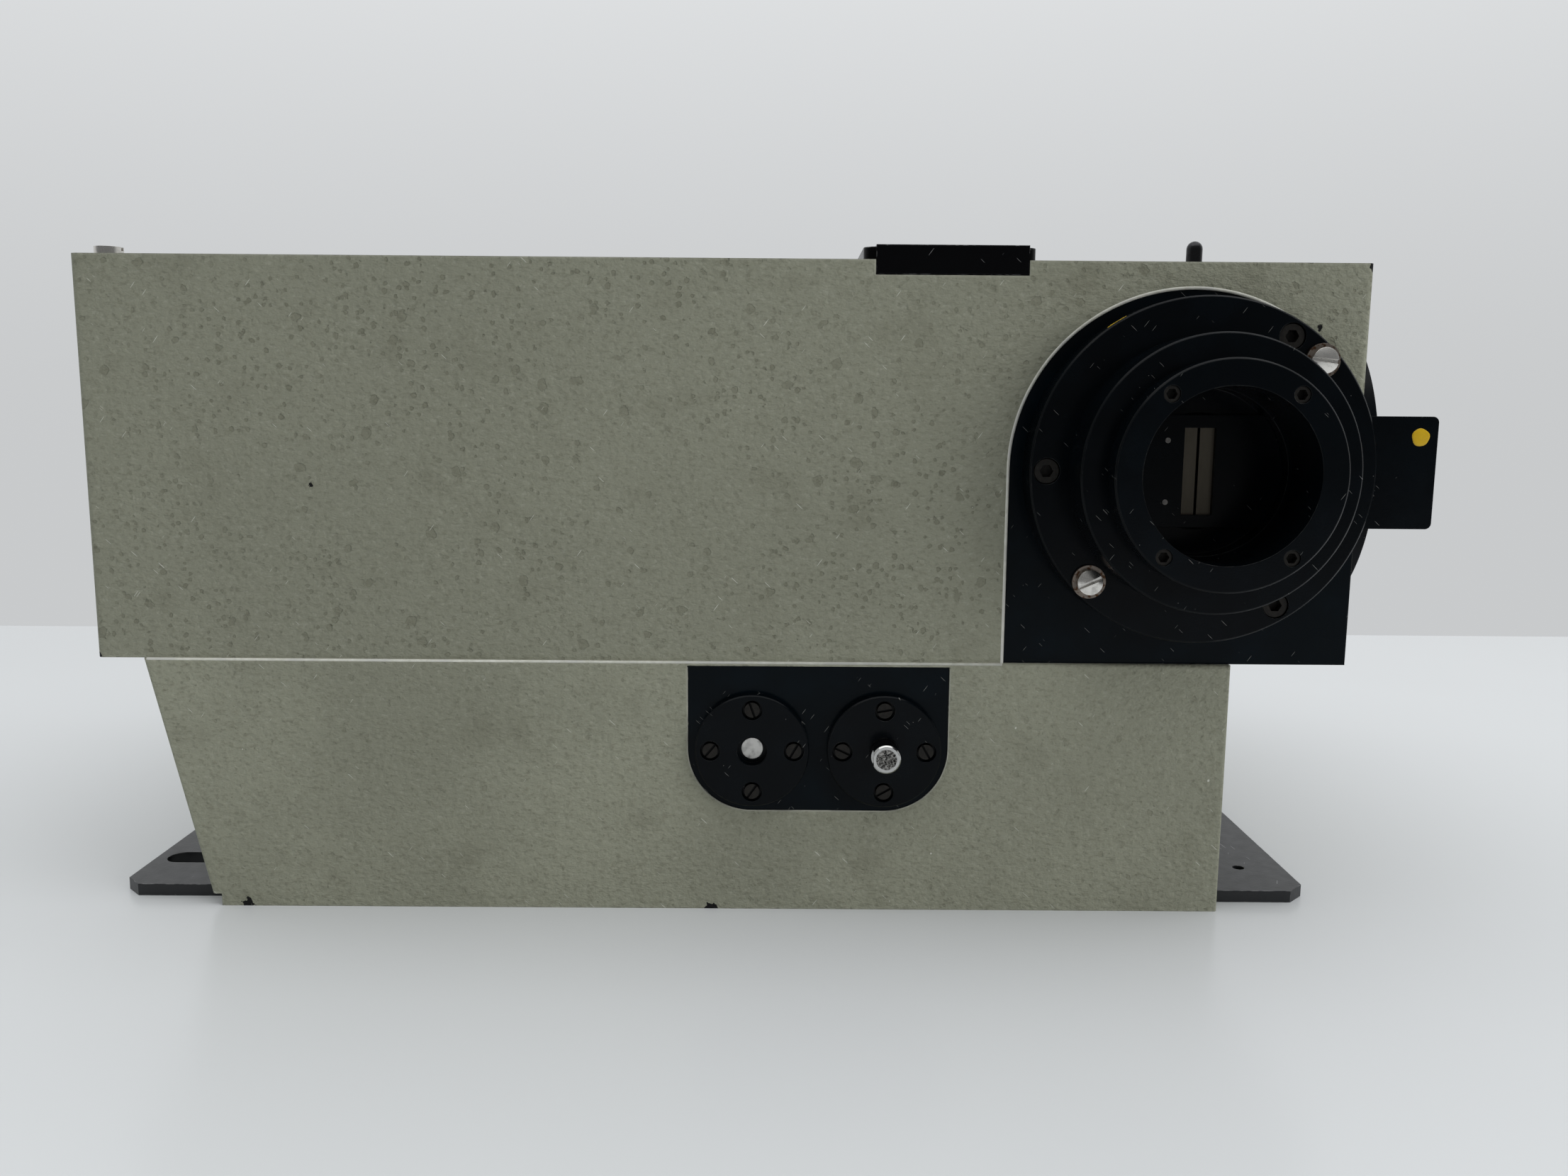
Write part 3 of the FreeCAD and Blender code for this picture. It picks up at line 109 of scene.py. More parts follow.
class Look:
    """A Principled material whose colour, roughness and bump come from nodes in object space."""

    def __init__(self, name, roughness=0.5, metallic=0.0, **plain):
        self.material = bpy.data.materials.new(name)
        self.material.use_nodes = True
        self.tree = self.material.node_tree
        self.shader = self.tree.nodes["Principled BSDF"]
        self.set(Roughness=roughness, Metallic=metallic, **plain)
        self.place = self.tree.nodes.new("ShaderNodeTexCoord").outputs["Object"]

    def set(self, **values):
        for name, value in values.items():
            self.put(value, self.shader.inputs[name.replace("_", " ")])

    def put(self, value, socket):
        """Link an output to a socket, or set a plain value on it."""
        if isinstance(value, bpy.types.NodeSocket):
            self.tree.links.new(value, socket)
        elif socket.type == "RGBA":
            socket.default_value = (*value, 1.0)
        else:
            socket.default_value = value

    def node(self, kind, inputs=(), **settings):
        item = self.tree.nodes.new("ShaderNode" + kind)
        for name, value in settings.items():
            setattr(item, name, value)
        for name, value in dict(inputs).items():
            self.put(value, item.inputs[name])
        return item

    def math(self, operation, a, b=0.0, clamp=False):
        item = self.node("Math", operation=operation, use_clamp=clamp)
        self.put(a, item.inputs[0])
        self.put(b, item.inputs[1])
        return item.outputs[0]

    def axes(self):
        item = self.node("SeparateXYZ", {0: self.place})
        return item.outputs

    def stretched(self, scale):
        item = self.node("Mapping", {"Vector": self.place, "Scale": scale})
        return item.outputs[0]

    def noise(self, size_mm, detail=2.0, rough=0.5, at=None, distortion=0.0):
        item = self.node("TexNoise", {
            "Vector": at or self.place, "Scale": 1 / (size_mm * MM), "Detail": detail,
            "Roughness": rough, "Distortion": distortion})
        return item.outputs["Factor"] if "Factor" in item.outputs else item.outputs["Fac"]

    def cells(self, size_mm, at=None):
        """A lattice's cells: the distance to the cell's own point, and two draws per cell."""
        cell = self.node("TexVoronoi", {
            "Vector": at or self.place, "Scale": 1 / (size_mm * MM)}).outputs
        shade = self.node("SeparateColor", {0: cell["Color"]}).outputs
        return cell["Distance"], shade[0], shade[1]

    def step(self, value, low, high):
        """A smooth ramp from 0 at low to 1 at high."""
        item = self.node("MapRange", {"Value": value, "From Min": low, "From Max": high},
                         interpolation_type="SMOOTHSTEP")
        return item.outputs[0]

    def away_from(self, x, z, spot_x, spot_z):
        """Distance from a place on the front, seen along y."""
        across = self.math("SUBTRACT", x, spot_x)
        up = self.math("SUBTRACT", z, spot_z)
        return self.math("SQRT", self.math("ADD", self.math("MULTIPLY", across, across),
                                           self.math("MULTIPLY", up, up)))

    def mix(self, share, a, b):
        item = self.node("Mix", data_type="RGBA")
        self.put(share, item.inputs[0])
        self.put(a, item.inputs[6])
        self.put(b, item.inputs[7])
        return item.outputs[2]

    def blend(self, share, a, b):
        item = self.node("Mix", data_type="FLOAT")
        self.put(share, item.inputs[0])
        self.put(a, item.inputs[2])
        self.put(b, item.inputs[3])
        return item.outputs[0]

    def soft_edges(self, radius_mm):
        return self.node("Bevel", {"Radius": radius_mm * MM}, samples=4).outputs[0]

    def edge_share(self, radius_mm, start=0.015, end=0.14):
        """0 on a face and 1 on a sharp outer or inner edge."""
        soft = self.soft_edges(radius_mm)
        flat = self.node("NewGeometry").outputs["Normal"]
        dot = self.node("VectorMath", {0: soft, 1: flat}, operation="DOT_PRODUCT").outputs["Value"]
        return self.step(self.math("SUBTRACT", 1.0, dot), start, end)

    def bump(self, height, depth_mm, normal=None):
        inputs = {"Height": height, "Distance": depth_mm * MM, "Strength": 1.0}
        if normal is not None:
            inputs["Normal"] = normal
        return self.node("Bump", inputs).outputs[0]

    def flecks(self, spacing_mm, long_mm, thin_mm, turn, keep):
        """Short straight scratches of one direction, in some of the cells of a squashed lattice."""
        squash = (1.0, 1.0, thin_mm / long_mm)
        at = self.node("Mapping", {"Vector": self.place, "Scale": squash, "Rotation": turn},
                       vector_type="TEXTURE").outputs[0]
        distance, pick, draw = self.cells(spacing_mm, at=at)
        reach = self.blend(draw, 0.15 * long_mm / spacing_mm, 0.5 * long_mm / spacing_mm)
        near = self.math("LESS_THAN", distance, reach)
        return self.math("MULTIPLY", near, self.math("LESS_THAN", pick, keep))

    def scratches(self, long_mm, thin_mm, keep):
        """Flecks of two directions."""
        one = self.flecks(3 * long_mm, long_mm, thin_mm, (0.4, 0.7, 0.2), keep)
        other = self.flecks(3.4 * long_mm, long_mm, thin_mm, (-0.3, -0.9, 0.5), keep)
        return self.math("MAXIMUM", one, other)


def dress(look, *nodes):
    """Give CAD nodes a material."""
    for name in nodes:
        for holder in NODES[name].material_slots:
            holder.material = look.material


def inside(look, value, low, high, soft=0.02):
    """1 where a coordinate lies between two limits in metres."""
    edge = soft * MM
    rise = look.step(value, low - edge, low + edge)
    fall = look.step(value, high + edge, high - edge)
    return look.math("MULTIPLY", rise, fall)


def chips(look, spacing_mm, size_mm, keep):
    """Small sparse specks: some cells of a lattice, each with a ragged blot at its middle."""
    ragged = look.noise(size_mm * 0.7, detail=3.0)
    distance, pick, _ = look.cells(spacing_mm)
    reach = look.math("MULTIPLY", ragged, size_mm / spacing_mm)
    blot = look.math("LESS_THAN", distance, reach)
    return look.math("MULTIPLY", blot, look.math("LESS_THAN", pick, keep))


def black_metal_parts(look, base=BLACK_METAL):
    """Colour, metallic and roughness of black anodising with fine scratches and specks, and edges paler all
    along: partly edge wear, partly a painted highlight.
    """
    uneven = look.math("MULTIPLY", look.step(look.noise(11, detail=3.0), 0.42, 0.62),
                       look.step(look.noise(1.6, detail=3.0), 0.35, 0.62))
    # Edges paler all along: partly edge wear, partly a painted highlight on the chamfers
    worn = look.math("MULTIPLY", look.edge_share(0.12, 0.10, 0.3), look.blend(uneven, 0.10, 0.8))
    lines = look.scratches(1.9, 0.08, 0.08)
    specks = chips(look, 2.0, 0.13, 0.3)
    bare = look.math("MAXIMUM", look.math("MAXIMUM", worn, lines), specks, clamp=True)
    dusty = look.mix(look.step(look.noise(9, detail=4.0), 0.4, 0.75), base, [c * 1.6 for c in base])
    color = look.mix(bare, dusty, BARE_METAL_AND_EDGE_HIGHLIGHT)
    rough = look.blend(look.noise(2.5, detail=3.0), 0.16, 0.26)
    return color, look.math("MULTIPLY", bare, 0.3), rough


def blobs(look, spacing_mm, least, most, keep):
    """Roundish uneven blots, one in some of the cells of a lattice; sizes in cells."""
    distance, pick, draw = look.cells(spacing_mm)
    ragged = look.math("SUBTRACT", look.noise(spacing_mm * 0.4, detail=3.0), 0.5)
    away = look.math("ADD", distance, look.math("MULTIPLY", ragged, 0.55))
    reach = look.blend(draw, least, most)
    near = look.step(look.math("SUBTRACT", away, reach), 0.02, -0.02)
    return look.math("MULTIPLY", near, look.math("LESS_THAN", pick, keep))


def worn_spot(look, x, z, spot_x, spot_z, radius_mm):
    """A ragged chip round one place on the front."""
    away = look.away_from(x, z, spot_x, spot_z)
    ragged = look.math("MULTIPLY", look.noise(radius_mm * 0.8, detail=3.0), 2 * radius_mm * MM)
    return look.math("LESS_THAN", away, ragged)


def casting_paint():
    """Grey-green crater-textured paint, with the black machined flats let into it."""
    look = Look("casting_paint")
    x, y, z = look.axes()
    grain = look.noise(0.75, detail=4.0, rough=0.6, at=look.stretched((0.6, 0.6, 1.0)))
    peel = look.noise(1.7, detail=2.0)
    craters = look.math("MAXIMUM", blobs(look, 2.6, 0.08, 0.30, 0.5), blobs(look, 1.7, 0.06, 0.28, 0.4))
    large = blobs(look, 4.6, 0.10, 0.27, 0.6)
    upper = look.step(z, LEDGE_Z - 2 * MM, LEDGE_Z + 2 * MM)
    large = look.math("MULTIPLY", large, look.blend(upper, 0.15, 1.0))
    patchy = look.math("MULTIPLY", look.step(look.noise(38, detail=2.0), 0.36, 0.6),
                       look.blend(upper, 0.3, 1.0))
    craters = look.math("MULTIPLY", craters, look.blend(patchy, 0.35, 1.0))
    cloud = look.step(look.noise(50, detail=2.0), 0.3, 0.7)
    # Below the ledge the paint colour is raised: painted light of the table's bounce
    paint = look.mix(upper, [c * DRIVE_BOX_PAINTED_LIGHT for c in PAINT], PAINT)
    tone = look.mix(cloud, paint, [c * 0.95 for c in PAINT])
    # Darker and paler grain specks: painted shade and painted highlight of the fine relief
    tone = look.mix(look.math("MULTIPLY", look.step(grain, 0.52, 0.68), 0.45), tone, PAINT_DARK)
    tone = look.mix(look.math("MULTIPLY", look.step(grain, 0.44, 0.3), 0.22), tone, PAINT_PALE_HIGHLIGHT)
    tone = look.mix(look.math("MULTIPLY", craters, 0.7), tone, PAINT_DARK)
    tone = look.mix(look.math("MULTIPLY", large, 0.55), tone, PAINT_DARK)
    smudge = look.step(look.noise(17, detail=5.0, rough=0.6), 0.52, 0.78)
    tone = look.mix(look.math("MULTIPLY", smudge, 0.55), tone, PAINT_DARK)
    # Paler along the rounded edges: a painted highlight
    tone = look.mix(look.math("MULTIPLY", look.edge_share(0.8), 0.7), tone, PAINT_PALE_HIGHLIGHT)
    pale = look.math("MAXIMUM", chips(look, 9.0, 0.5, 0.3), look.scratches(2.0, 0.13, 0.06))
    tone = look.mix(look.math("MULTIPLY", pale, 0.55), tone, PAINT_PALE_MARK)
    nicks = chips(look, 60.0, 1.4, 0.3)
    for spot_x, spot_z, radius_mm in CHIPPED_SPOTS:
        nicks = look.math("MAXIMUM", nicks, worn_spot(look, x, z, spot_x, spot_z, radius_mm))
    tone = look.mix(nicks, tone, PAINT_CHIP)
    black, shine, gloss = black_metal_parts(look, MACHINED_BLACK)
    flat = machined_share(look, x, y, z)
    look.set(
        Base_Color=look.mix(flat, tone, black),
        Metallic=look.math("MULTIPLY", flat, shine),
        Roughness=look.blend(flat, look.blend(craters, 0.5, 0.6), gloss),
        Specular_IOR_Level=PAINT_SHINE)
    height = look.math("SUBTRACT", look.math("ADD", grain, look.math("MULTIPLY", peel, 0.9)),
                       look.math("MULTIPLY", craters, 0.5))
    height = look.math("SUBTRACT", height, look.math("MULTIPLY", large, 0.35))
    height = look.math("MULTIPLY", height, look.math("SUBTRACT", 1.0, flat))
    look.set(Normal=look.bump(height, 0.42, look.soft_edges(0.6)))
    return look


def machined_share(look, x, y, z):
    """Where the casting is machined and black: the arch behind each port and the drive pad."""
    depth = look.math("ABSOLUTE", y)
    ragged = look.math("MULTIPLY", look.math("SUBTRACT", look.noise(1.2, detail=3.0), 0.5), 0.7 * MM)
    worn_x = look.math("ADD", x, ragged)
    worn_z = look.math("ADD", z, ragged)
    arch = inside(look, depth, ARCH_FLAT_DEPTH - FLAT_SLACK, ARCH_FLAT_DEPTH + FLAT_SLACK, 0.01)
    arch = look.math("MULTIPLY", arch, look.step(worn_x, ARCH_BLACK_LEFT, ARCH_BLACK_LEFT + PAINT_EDGE))
    arch = look.math("MULTIPLY", arch, look.step(z, ARCH_BLACK_LOW, ARCH_BLACK_LOW + PAINT_EDGE))
    front = look.math("MULTIPLY", y, -1.0)
    pad = inside(look, front, PAD_FLAT_DEPTH - FLAT_SLACK, PAD_FLAT_DEPTH + FLAT_SLACK, 0.01)
    pad = look.math("MULTIPLY", pad, inside(look, worn_x, PAD_BLACK_LEFT, PAD_BLACK_RIGHT))
    pad = look.math("MULTIPLY", pad, look.step(worn_z, PAD_BLACK_LOW, PAD_BLACK_LOW + PAINT_EDGE))
    return look.math("MAXIMUM", arch, pad, clamp=True)


def black_anodised():
    look = Look("black_anodised")
    color, shine, rough = black_metal_parts(look)
    look.set(Base_Color=color, Metallic=shine, Roughness=rough, Specular_IOR_Level=BLACK_SHINE)
    look.set(Normal=look.bump(look.noise(0.4), 0.006, look.soft_edges(0.3)))
    return look


def gloss_black():
    """The smoother, blacker finish of the lift-off cover."""
    look = Look("gloss_black")
    worn = look.math("MULTIPLY", look.edge_share(0.3), look.step(look.noise(1.6), 0.5, 0.7))
    marks = look.math("MAXIMUM", look.scratches(2.2, 0.12, 0.2), chips(look, 5.0, 0.3, 0.3))
    bare = look.math("MAXIMUM", worn, marks, clamp=True)
    look.set(Base_Color=look.mix(bare, (0.0015, 0.0016, 0.002), (0.3, 0.3, 0.3)), Specular_IOR_Level=0.1)
    look.set(Metallic=look.math("MULTIPLY", bare, 0.7), Roughness=look.blend(look.noise(4), 0.16, 0.28))
    look.set(Normal=look.bump(look.noise(0.8, detail=3.0), 0.015, look.soft_edges(0.5)))
    return look


def black_plate():
    """Satin black plate, greyer where it was rubbed."""
    look = Look("black_plate")
    worn = look.math("MULTIPLY", look.edge_share(0.3), look.step(look.noise(2.5, detail=3.0), 0.42, 0.6))
    lines = look.scratches(4.0, 0.12, 0.12)
    bare = look.math("MAXIMUM", worn, lines, clamp=True)
    tone = look.mix(look.noise(14, detail=5.0), (0.006, 0.0068, 0.0078), (0.017, 0.018, 0.0205))
    look.set(Base_Color=look.mix(bare, tone, (0.3, 0.3, 0.3)), Metallic=look.math("MULTIPLY", bare, 0.8))
    look.set(Roughness=look.blend(look.noise(3.0, detail=4.0), 0.34, 0.5))
    look.set(Normal=look.bump(look.noise(0.7, detail=3.0), 0.03, look.soft_edges(0.3)))
    return look


def metal(name, color, roughness, spots=None):
    """Bare metal with fine grain, tarnish and optional spots of another colour."""
    look = Look(name, metallic=1.0)
    dull = look.step(look.noise(1.6, detail=4.0), 0.45, 0.75)
    tone = look.mix(dull, color, [c * 0.72 for c in color])
    if spots:
        tone = look.mix(look.step(look.noise(0.9, detail=3.0), 0.5, 0.62), tone, spots)
    look.set(Base_Color=tone, Roughness=look.blend(dull, roughness, roughness + 0.16))
    look.set(Normal=look.bump(look.noise(0.35, detail=2.0), 0.012, look.soft_edges(0.12)))
    return look


def hammered_shaft():
    """Polished steel whose free end is pitted and mottled."""
    look = Look("hammered_shaft", metallic=1.0)
    x, y, z = look.axes()
    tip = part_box("input_shaft")[0].y
    end_depth, pits_stop, pits_fade = 0.25 * MM, 2.35 * MM, 2.15 * MM
    at_end = look.math("LESS_THAN", y, tip + end_depth)
    away = look.away_from(x, z, INPUT_X, DRIVE_Z)
    at_end = look.math("MULTIPLY", at_end, look.step(away, pits_stop, pits_fade))
    pits = look.step(look.noise(0.55, detail=4.0, rough=0.7, distortion=0.8), 0.42, 0.6)
    mottled = look.mix(pits, (0.38, 0.37, 0.35), (0.02, 0.02, 0.02))
    look.set(Base_Color=look.mix(at_end, (0.52, 0.52, 0.51), mottled))
    look.set(Roughness=look.blend(at_end, 0.13, look.blend(pits, 0.22, 0.45)))
    rough_end = look.math("MULTIPLY", at_end, pits)
    look.set(Normal=look.bump(rough_end, 0.12, look.soft_edges(0.15)))
    return look


def dark_screw(name="dark_screw", top=None):
    """Blackened steel; below the top of the heads, in the slots and round the rims, it is painted blacker
    as shade.
    """
    look = Look(name, metallic=0.35, Specular_IOR_Level=0.2)
    tone = look.mix(look.noise(0.7, detail=3.0), (0.008, 0.008, 0.008), (0.030, 0.027, 0.023))
    if top is not None:
        # Painted shade: blacker below the head's top face, in the slots and round the rims
        painted_slot_shade = look.math("GREATER_THAN", look.axes()[1], top + 0.12 * MM)
        tone = look.mix(painted_slot_shade, tone, (0.0004, 0.0004, 0.0004))
    look.set(Base_Color=tone, Roughness=look.blend(look.noise(0.5), 0.35, 0.55))
    look.set(Normal=look.bump(look.noise(0.3), 0.02, look.soft_edges(0.1)))
    return look


def mirror_glass():
    look = Look("mirror_glass", metallic=1.0)
    haze = look.noise(12, detail=2.0)
    look.set(Base_Color=look.mix(haze, (0.86, 0.87, 0.89), (0.8, 0.81, 0.84)))
    look.set(Roughness=look.blend(haze, 0.03, 0.07))
    return look


def grating_face():
    """A ruled grating: a mirror whose painted diffraction colours drift across the rulings."""
    look = Look("grating_face", metallic=1.0)
    rulings = look.node("TexWave", {"Vector": look.stretched((1, 1, 0.02)), "Scale": 1 / (9 * MM)})
    # Painted diffraction colours, fixed in the base colour
    painted_diffraction_colours = look.mix(rulings.outputs["Fac"], (0.62, 0.5, 0.72), (0.5, 0.72, 0.6))
    look.set(Base_Color=look.mix(0.6, painted_diffraction_colours, (0.8, 0.8, 0.82)))
    look.set(Roughness=look.blend(look.noise(8), 0.08, 0.14))
    return look


def matte_black():
    look = Look("matte_black")
    look.set(Base_Color=look.mix(look.noise(3, detail=3.0), (0.012, 0.012, 0.012), (0.028, 0.028, 0.027)))
    look.set(Roughness=look.blend(look.noise(1.2), 0.72, 0.86))
    look.set(Normal=look.bump(look.noise(0.5), 0.03, look.soft_edges(0.15)))
    return look


def slit_metal():
    look = Look("slit_metal", metallic=0.75)
    streak = look.noise(2.0, detail=3.0, at=look.stretched((1.0, 1.0, 0.25)))
    look.set(Base_Color=look.mix(streak, (0.065, 0.055, 0.040), (0.12, 0.105, 0.082)))
    look.set(Roughness=look.blend(streak, 0.42, 0.58))
    return look


def yellow_paint():
    look = Look("yellow_paint")
    look.set(Base_Color=look.mix(look.noise(1.0, detail=3.0), (0.66, 0.42, 0.002), (0.5, 0.31, 0.002)))
    look.set(Roughness=look.blend(look.noise(0.6), 0.35, 0.5))
    look.set(Normal=look.bump(look.noise(0.8), 0.05))
    return look


def floor_look(name, color, roughness):
    look = Look(name)
    look.set(Base_Color=look.mix(look.noise(120, detail=2.0), color, [c * 0.97 for c in color]))
    look.set(Roughness=roughness, Specular_IOR_Level=0.2)
    return look


def dress_cad():
    """Every CAD node that stays as it is gets its material here."""
    dress(casting_paint(), "main_casting", "top_cover")
    anodised = black_anodised()
    dress(anodised, "entrance_slit_holder", "exit_slit_holder", "entrance_flange", "exit_flange",
          "entrance_flange_ring", "exit_flange_ring", "front_side_port_blank", "rear_side_port_blank",
          "entrance_slit_plate", "exit_slit_plate", "lead_screw_flange", "input_shaft_flange")
    dress(gloss_black(), "access_cover", "access_cover_key")
    dress(black_plate(), "base_plate")
    dress(dark_screw(), "port_cap_screws", "flange_set_screws")
    dress(dark_screw("slotted_dark_screw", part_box("bearing_flange_screws")[0].y), "bearing_flange_screws")
    steel = metal("plated_steel", (0.72, 0.70, 0.66), 0.22)
    dress(steel, "cover_screws", "base_plate_screws", "clamp_screws", "mirror_adjusting_screws")
    dress(metal("rusty_washer", (0.24, 0.205, 0.175), 0.34, spots=(0.085, 0.042, 0.022)), "clamp_washers")
    dress(metal("dull_rivet", (0.20, 0.19, 0.18), 0.4), "entrance_slit_rivets", "exit_slit_rivets")
    dress(slit_metal(), "entrance_slit_blades", "exit_slit_blades")
    dress(metal("turned_steel", (0.74, 0.73, 0.70), 0.42), "lead_screw")
    dress(hammered_shaft(), "input_shaft")
    dress(metal("ground_steel", (0.78, 0.77, 0.75), 0.14), "grating_spindle", "nut_guide_rod",
          "arm_roller", "spindle_bearings")
    dress(metal("spring_steel", (0.3, 0.3, 0.31), 0.3), "return_spring")
    dress(metal("blackened_rod", (0.035, 0.035, 0.037), 0.22), "shutter_pull_rod")
    dress(matte_black(), "baffles", "shutter_blade", "shutter_guide_plate")
    dress(metal("machined_aluminium", (0.72, 0.73, 0.74), 0.32), "collimating_mirror_cell",
          "focusing_mirror_cell", "collimating_mirror_mount", "focusing_mirror_mount",
          "entrance_fold_mount", "exit_fold_mount", "grating_holder", "grating_table", "sine_arm",
          "spindle_housing")
    dress(mirror_glass(), "collimating_mirror", "focusing_mirror", "entrance_fold_mirror",
          "exit_fold_mirror")
    dress(grating_face(), "grating")
    dress(metal("machined_brass", (0.72, 0.52, 0.22), 0.28), "lead_screw_gear", "input_gear",
          "drive_nut", "rear_bushes")


# Stage -----------------------------------------------------------------------------------------

def flat_sheet(name, x, y, z, look):
    data = bpy.data.meshes.new(name)
    data.from_pydata([(x[0], y[0], z), (x[1], y[0], z), (x[1], y[1], z), (x[0], y[1], z)], [],
                     [(0, 1, 2, 3)])
    data.materials.append(look.material)
    item = bpy.data.objects.new(name, data)
    bpy.context.collection.objects.link(item)


def area_light(name, place, aim, size, power, mirrored=True):
    data = bpy.data.lights.new(name, "AREA")
    data.shape = "RECTANGLE"
    data.size, data.size_y = size
    data.energy = power
    item = bpy.data.objects.new(name, data)
    item.location = place
    item.rotation_euler = (Vector(aim) - Vector(place)).to_track_quat("-Z", "Y").to_euler()
    item.visible_glossy = mirrored
    bpy.context.collection.objects.link(item)


def studio_world():
    """A pale room, brightest overhead, that lights the front less than the back.

    The camera sees it equally pale from every side."""
    world = bpy.data.worlds.new("studio")
    bpy.context.scene.world = world
    world.use_nodes = True
    tree = world.node_tree
    way = tree.nodes.new("ShaderNodeSeparateXYZ")
    tree.links.new(tree.nodes.new("ShaderNodeTexCoord").outputs["Generated"], way.inputs[0])

    def ramp(axis, low, high, to_low, to_high):
        item = tree.nodes.new("ShaderNodeMapRange")
        item.interpolation_type = "SMOOTHSTEP"
        tree.links.new(way.outputs[axis], item.inputs["Value"])
        for name, value in zip(("From Min", "From Max", "To Min", "To Max"), (low, high, to_low, to_high)):
            item.inputs[name].default_value = value
        return item.outputs[0]

    def join(operation, first, second):
        item = tree.nodes.new("ShaderNodeMath")
        item.operation = operation
        tree.links.new(first, item.inputs[0])
        tree.links.new(second, item.inputs[1])
        return item

    side = join("MAXIMUM", ramp("Y", -0.5, 0.2, FRONT_ROOM, 1.0), ramp("Z", 0.55, 0.95, FRONT_ROOM, 1.0))
    seen = tree.nodes.new("ShaderNodeLightPath").outputs["Is Camera Ray"]
    side = join("MAXIMUM", side.outputs[0], seen)
    strength = join("MULTIPLY", side.outputs[0], ramp("Z", -0.05, 0.9, 0.60, 1.10))
    shade = tree.nodes["Background"]
    shade.inputs["Color"].default_value = (0.965, 0.985, 1.0, 1)
    tree.links.new(strength.outputs[0], shade.inputs["Strength"])


def stage():
    flat_sheet("table", (-TABLE_HALF_WIDTH, TABLE_HALF_WIDTH), (TABLE_FRONT, TABLE_BACK), 0.0,
               floor_look("table_white", TABLE_WHITE, 0.24))
    studio_world()
    area_light("overhead", (0.1, -0.25, 1.5), (0.1, -0.2, 0), (2.4, 1.2), CEILING_WATTS)
    area_light("right_low", (1.3, -0.9, 0.36), (0, -0.1, 0.03), (0.9, 0.4), FILL_WATTS, mirrored=False)


# Details that the CAD leaves to the finish -------------------------------------------------------

def piece(name, verts, faces, look, body):
    data = bpy.data.meshes.new(name)
    data.from_pydata(verts, [], faces)
    data.materials.append(look.material)
    for face in data.polygons:
        face.use_smooth = True
    item = bpy.data.objects.new(name, data)
    bpy.context.collection.objects.link(item)
    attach(item, body)


def bead(name, line, y, radius, look):
    """A round bead of paint along a line of (x, z) places at one depth."""
    sides = 12
    verts, faces = [], []
    for index, (x, z) in enumerate(line):
        before = Vector(line[max(index - 1, 0)])
        after = Vector(line[min(index + 1, len(line) - 1)])
        along = (after - before).normalized()
        for side in range(sides):
            angle = TAU * side / sides
            out = radius * math.cos(angle)
            verts.append((x - along.y * out, y + radius * math.sin(angle), z + along.x * out))
    for index in range(len(line) - 1):
        for side in range(sides):
            after = (side + 1) % sides
            a, b = index * sides, (index + 1) * sides
            faces.append((a + side, b + side, b + after, a + after))
    faces.append(tuple(range(sides))[::-1])
    faces.append(tuple(range((len(line) - 1) * sides, len(line) * sides)))
    piece(name, verts, faces, look, "housing")


def arc(middle_x, middle_z, radius, start, end, count):
    turns = [math.radians(start + (end - start) * step / count) for step in range(count + 1)]
    return [(middle_x + radius * math.cos(t), middle_z + radius * math.sin(t)) for t in turns]


def bead_painted_highlight(name, pale):
    """Paint that has gathered on an edge, smoother than on the faces, and paler as a painted highlight."""
    look = Look(name)
    streak = look.noise(1.4, detail=3.0)
    patches = look.noise(7.0, detail=2.0)
    tone = look.mix(streak, PAINT_PALE_HIGHLIGHT, pale)
    dirty = [c * 0.72 for c in pale]
    look.set(Base_Color=look.mix(look.step(patches, 0.45, 0.6), tone, dirty), Roughness=0.42)
    look.set(Normal=look.bump(streak, 0.12))
    return look


def paint_beads(look, thin_bead_highlight):
    """The paint beads that round off the edges of the recesses and of the ledge; their pale colour is a
    painted highlight.
    """
    last = math.degrees(math.acos((CASTING_HIGH.x - 0.4 * MM - ARCH_X) / ARCH_RADIUS))
    arch = [(ARCH_X - ARCH_RADIUS, LEDGE_Z), (ARCH_X - ARCH_RADIUS, (LEDGE_Z + PORT_Z) / 2)]
    arch += arc(ARCH_X, PORT_Z, ARCH_RADIUS, 180, last, 72)
    bead("port_arch_paint_edge", arch, WALL_FACE + 0.30 * MM, 0.42 * MM, look)
    ledge = [(LEDGE_LEFT, LEDGE_Z - 0.2 * MM), (ARCH_X - ARCH_RADIUS, LEDGE_Z - 0.2 * MM)]
    bead("ledge_paint_edge", ledge, WALL_FACE - 0.55 * MM, 0.36 * MM, look)
    pad = [(PAD_LEFT, LEDGE_Z - 1.2 * MM), (PAD_LEFT, (LEDGE_Z + DRIVE_Z) / 2)]
    pad += arc(PAD_LEFT + PAD_CORNER, DRIVE_Z, PAD_CORNER, 180, 270, 24)
    pad += arc(PAD_RIGHT - PAD_CORNER, DRIVE_Z, PAD_CORNER, 270, 360, 24)
    pad += [(PAD_RIGHT, (LEDGE_Z + DRIVE_Z) / 2), (PAD_RIGHT, LEDGE_Z - 1.2 * MM)]
    bead("drive_pad_paint_edge", pad, DRIVE_FACE + 0.13 * MM, 0.15 * MM, thin_bead_highlight)


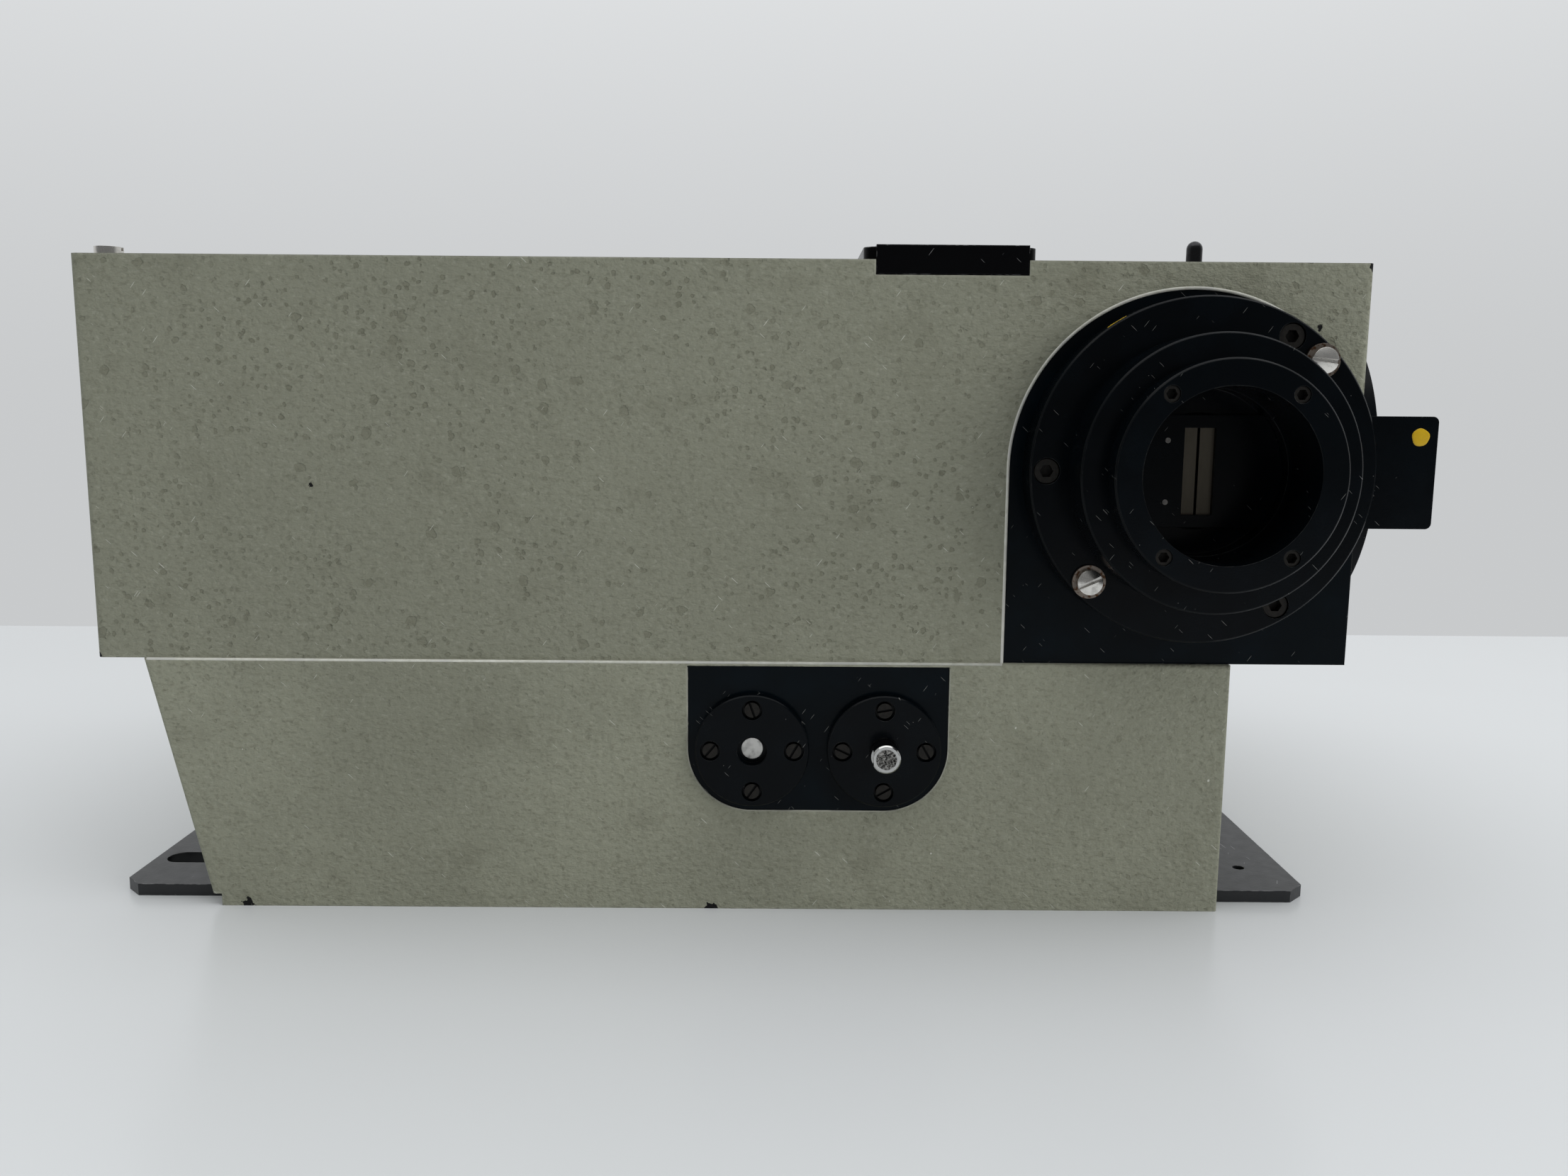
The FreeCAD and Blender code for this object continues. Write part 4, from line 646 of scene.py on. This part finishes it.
def yellow_dot(look):
    """The dab of paint that tells the slit plates apart."""
    low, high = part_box("entrance_slit_plate")
    inset_x, inset_z, radius = 3.7 * MM, 4.4 * MM, 1.9 * MM
    middle_x, middle_z = high.x - inset_x, high.z - inset_z
    count = 40
    verts = []
    for level, share in ((low.y, 1.0), (low.y - 0.05 * MM, 0.97), (low.y - 0.11 * MM, 0.8)):
        for index in range(count):
            turn = TAU * index / count
            uneven = 1 + 0.03 * math.sin(3 * turn + 1) + 0.025 * math.sin(5 * turn)
            verts.append((middle_x + radius * share * uneven * math.cos(turn), level,
                          middle_z + radius * share * uneven * math.sin(turn)))
    faces = [tuple(range(2 * count, 3 * count))]
    for ring in (0, count):
        for index in range(count):
            after = (index + 1) % count
            faces.append((ring + index, ring + after, ring + count + after, ring + count + index))
    piece("entrance_slit_paint_dot", verts, faces, look, "entrance_slit")


def yellow_mark(look):
    """The matching dab on the side of the slit holder."""
    radius = HOLDER_RADIUS + 0.05 * MM
    front = HOLDER_FACE + 0.5 * MM
    start_degrees, sweep_degrees = 118.5, 7.0
    verts = []
    count = 14
    for index in range(count + 1):
        turn = math.radians(start_degrees + sweep_degrees * index / count)
        for y in (front + 0.1 * MM * math.sin(index), front + 1.3 * MM + 0.2 * MM * math.sin(index * 0.8)):
            verts.append((PORT_X + radius * math.cos(turn), y, PORT_Z + radius * math.sin(turn)))
    faces = [(2 * i, 2 * i + 1, 2 * i + 3, 2 * i + 2) for i in range(count)]
    piece("entrance_holder_paint_mark", verts, faces, look, "housing")


def details():
    # Pale bead colours: painted highlights on the rounded paint edges
    bright_bead_highlight = bead_painted_highlight("bead_painted_highlight", (0.82, 0.82, 0.76))
    thin_bead_highlight = bead_painted_highlight("thin_bead_painted_highlight", (0.40, 0.40, 0.34))
    paint_beads(bright_bead_highlight, thin_bead_highlight)
    yellow = yellow_paint()
    yellow_dot(yellow)
    yellow_mark(yellow)


FOCAL_MM = 28.89
SENSOR_MM = 36.0
CAMERA_PLACE = (12.5 * MM, -361.7 * MM, 113.5 * MM)
CAMERA_PITCH, CAMERA_YAW, CAMERA_ROLL = (math.radians(a) for a in (8.22, 0.20, 0.44))


def camera():
    data = bpy.data.cameras.new("camera")
    data.lens = FOCAL_MM
    data.sensor_width = SENSOR_MM
    data.clip_start = 0.01
    item = bpy.data.objects.new("camera", data)
    turn = Matrix.Rotation(-CAMERA_YAW, 4, "Z") @ Matrix.Rotation(math.pi / 2 - CAMERA_PITCH, 4, "X")
    turn = turn @ Matrix.Rotation(CAMERA_ROLL, 4, "Z")
    item.matrix_world = Matrix.Translation(CAMERA_PLACE) @ turn
    bpy.context.collection.objects.link(item)
    bpy.context.scene.camera = item


camera()
stage()
dress_cad()
details()
bpy.context.scene.view_settings.view_transform = "Standard"
